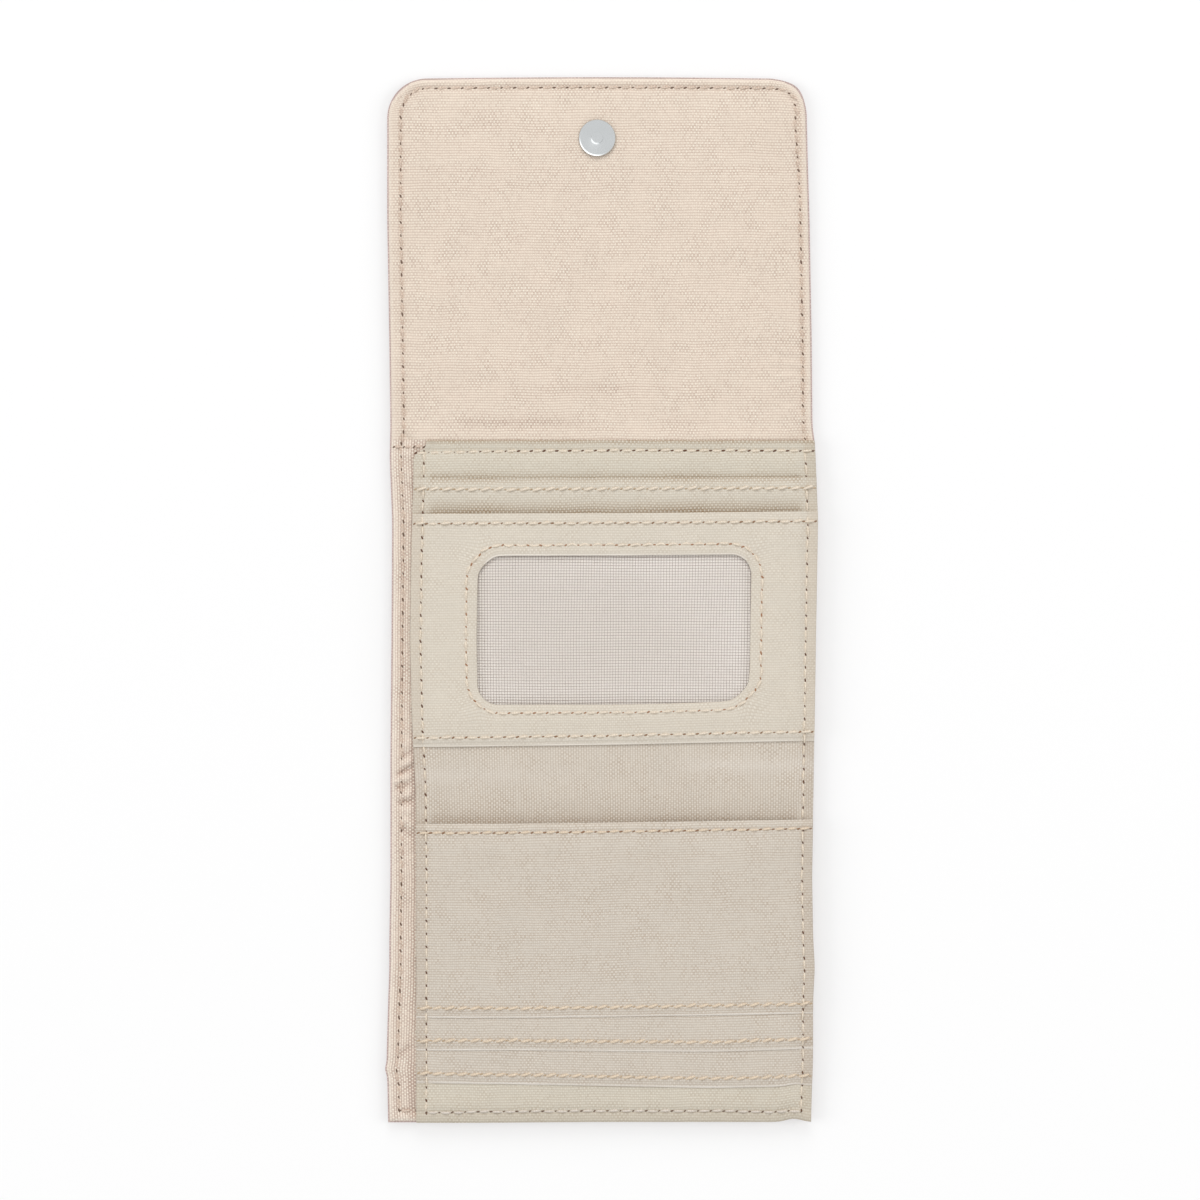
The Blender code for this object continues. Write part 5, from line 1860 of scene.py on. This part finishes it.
def make_snap():
    """Both halves of the magnetic snap, with smooth turned edges."""
    radius = (STUD_HIGH[0] - STUD_LOW[0]) / 2
    low, nub_high = STUD_LOW[2], STUD_HIGH[2]
    high = low + STUD_DISC
    profile = [(0, nub_high), (0.6, nub_high - 0.005)]
    profile += arc(1.53, nub_high - 0.12, 0.12, 0, 90, 7)
    profile += [(1.65, high + 0.12), (1.72, high + 0.03), (1.85, high)]
    profile += arc(radius - STUD_RIM, high - STUD_RIM, STUD_RIM, 0, 90, 12)
    profile += [(radius, low + 0.05), (radius - 0.05, low), (radius - 0.45, low),
                (radius - 0.45, high - 0.45), (0, high - 0.45)]
    turn_metal("snap_stud_cap", profile, (STUD_LOW + STUD_HIGH) / 2, "flap", "snap_stud")
    top = SOCKET_HIGH[2]
    inner = radius - 0.35
    case = [(inner, top), (radius, top), (radius, SOCKET_RIM)]
    case += arc(radius - SOCKET_RIM, SOCKET_RIM, SOCKET_RIM, 90, 180, 8)
    case += [(2.2, 0.0), (2.05, 0.03), (1.97, 0.12), (1.95, 0.22), (1.95, 0.3), (inner, 0.3),
             (inner, top)]
    turn_metal("snap_socket_shell", case, (SOCKET_LOW + SOCKET_HIGH) / 2, "lower_panel",
               "snap_socket_case")
    for name in ("snap_stud_prongs", "snap_stud_washer", "snap_socket_base", "snap_socket_washer"):
        dress(name, nickel)
    dress("snap_magnet", magnet_look)


def dress(name, look):
    """Give a CAD node that stays in view its finish."""
    node = frame["nodes"][name]
    if not node.material_slots:
        node.data.materials.append(look)
    for place in node.material_slots:
        place.material = look


# Floor, light and camera

def make_floor():
    """A white table that keeps the wallet's soft shadow."""
    made = bpy.data.materials.new("white table")
    made.use_nodes = True
    nodes = made.node_tree.nodes
    nodes.remove(nodes["Principled BSDF"])
    w = Wiring(made.node_tree)
    lit = w.add("ShaderNodeBsdfDiffuse", {"Color": (0.86, 0.86, 0.86, 1)})
    seen_lit = w.add("ShaderNodeBsdfDiffuse", {"Color": (0.5, 0.5, 0.5, 1)})
    glow = w.add("ShaderNodeEmission", {"Color": (1, 1, 1, 1), "Strength": 0.44})
    seen = w.add("ShaderNodeAddShader", {0: seen_lit, 1: glow})
    by_camera = w.add("ShaderNodeLightPath", output="Is Camera Ray")
    choice = w.add("ShaderNodeMixShader", {0: by_camera, 1: lit, 2: seen})
    w.feed(nodes["Material Output"].inputs, {"Surface": choice})
    mesh = bpy.data.meshes.new("table")
    shape = bmesh.new()
    bmesh.ops.create_grid(shape, x_segments=2, y_segments=2, size=4.0)
    shape.to_mesh(mesh)
    shape.free()
    mesh.materials.append(made)
    table = new_piece("table", mesh)
    table.location = (0, 0, -0.00005)
    return table


def area_lamp(name, place, size, energy, table, lights_table):
    """A lamp aimed at the wallet that lights only the table, or all but the table."""
    lamp = bpy.data.lights.new(name, "AREA")
    lamp.shape = "RECTANGLE"
    lamp.size, lamp.size_y = size
    lamp.energy = energy
    holder = new_piece(name, lamp)
    holder.location = place
    holder.rotation_euler = (-Vector(place)).to_track_quat("-Z", "Y").to_euler()
    holder.visible_glossy = False
    reach = bpy.data.collections.new(name + " reach")
    reach.objects.link(table)
    link = reach.collection_objects[0].light_linking
    link.link_state = "INCLUDE" if lights_table else "EXCLUDE"
    holder.light_linking.receiver_collection = reach


def make_light(table):
    """A broad soft lamp beyond the flap for the wallet, and panels for its shadow."""
    area_lamp("key", (-0.2, 2.2, 2.4), (2.4, 1.9), 45.0, table, False)
    area_lamp("overhead fill", (0.0, 0.0, 3.0), (2.2, 2.2), 9.5, table, False)
    for name, place in (("left panel", (-2.6, 0.0, 1.7)), ("right panel", (2.6, 0.0, 1.7)),
                        ("far panel", (0.0, 2.6, 1.7))):
        area_lamp(name, place, (1.8, 1.8), 32.0, table, True)
    world = bpy.data.worlds.new("studio")
    bpy.context.scene.world = world
    world.use_nodes = True
    w = Wiring(world.node_tree)
    ray = w.add("ShaderNodeLightPath")
    shown = w.math("MAXIMUM", ray["Is Camera Ray"], ray["Is Glossy Ray"])
    shown = w.math("MAXIMUM", shown, ray["Is Transmission Ray"])
    direction = w.add("ShaderNodeTexCoord", output="Generated")
    facing = w.vector_math("DOT_PRODUCT", {0: direction, 1: (-0.52, -0.70, 0.49)}, "Value")
    glint = w.span(facing, 0.62, 0.80, 0.0, 1.4) * ray["Is Glossy Ray"]
    w.feed(world.node_tree.nodes["Background"].inputs, {
        "Color": (1, 1, 1, 1), "Strength": shown * 0.38 + 0.62 + glint,
    })


def make_camera():
    """A camera straight above, far enough away that nothing looks bent."""
    data = bpy.data.cameras.new("camera")
    data.sensor_width = 36.0
    data.lens = data.sensor_width * (CAMERA_HEIGHT - 0.0045) / VIEW_WIDTH
    holder = new_piece("camera", data)
    holder.location = (-0.0007, -0.0001, CAMERA_HEIGHT)
    bpy.context.scene.camera = holder


make_camera()
make_light(make_floor())
make_shell()
make_linings()
make_rear_pocket()
make_id_pocket()
make_net()
make_lower_pockets()
make_shell_stitches()
make_outer_stitches()
make_panel_stitches()
make_window_seam()
make_snap()

bpy.context.scene.view_settings.view_transform = "Standard"
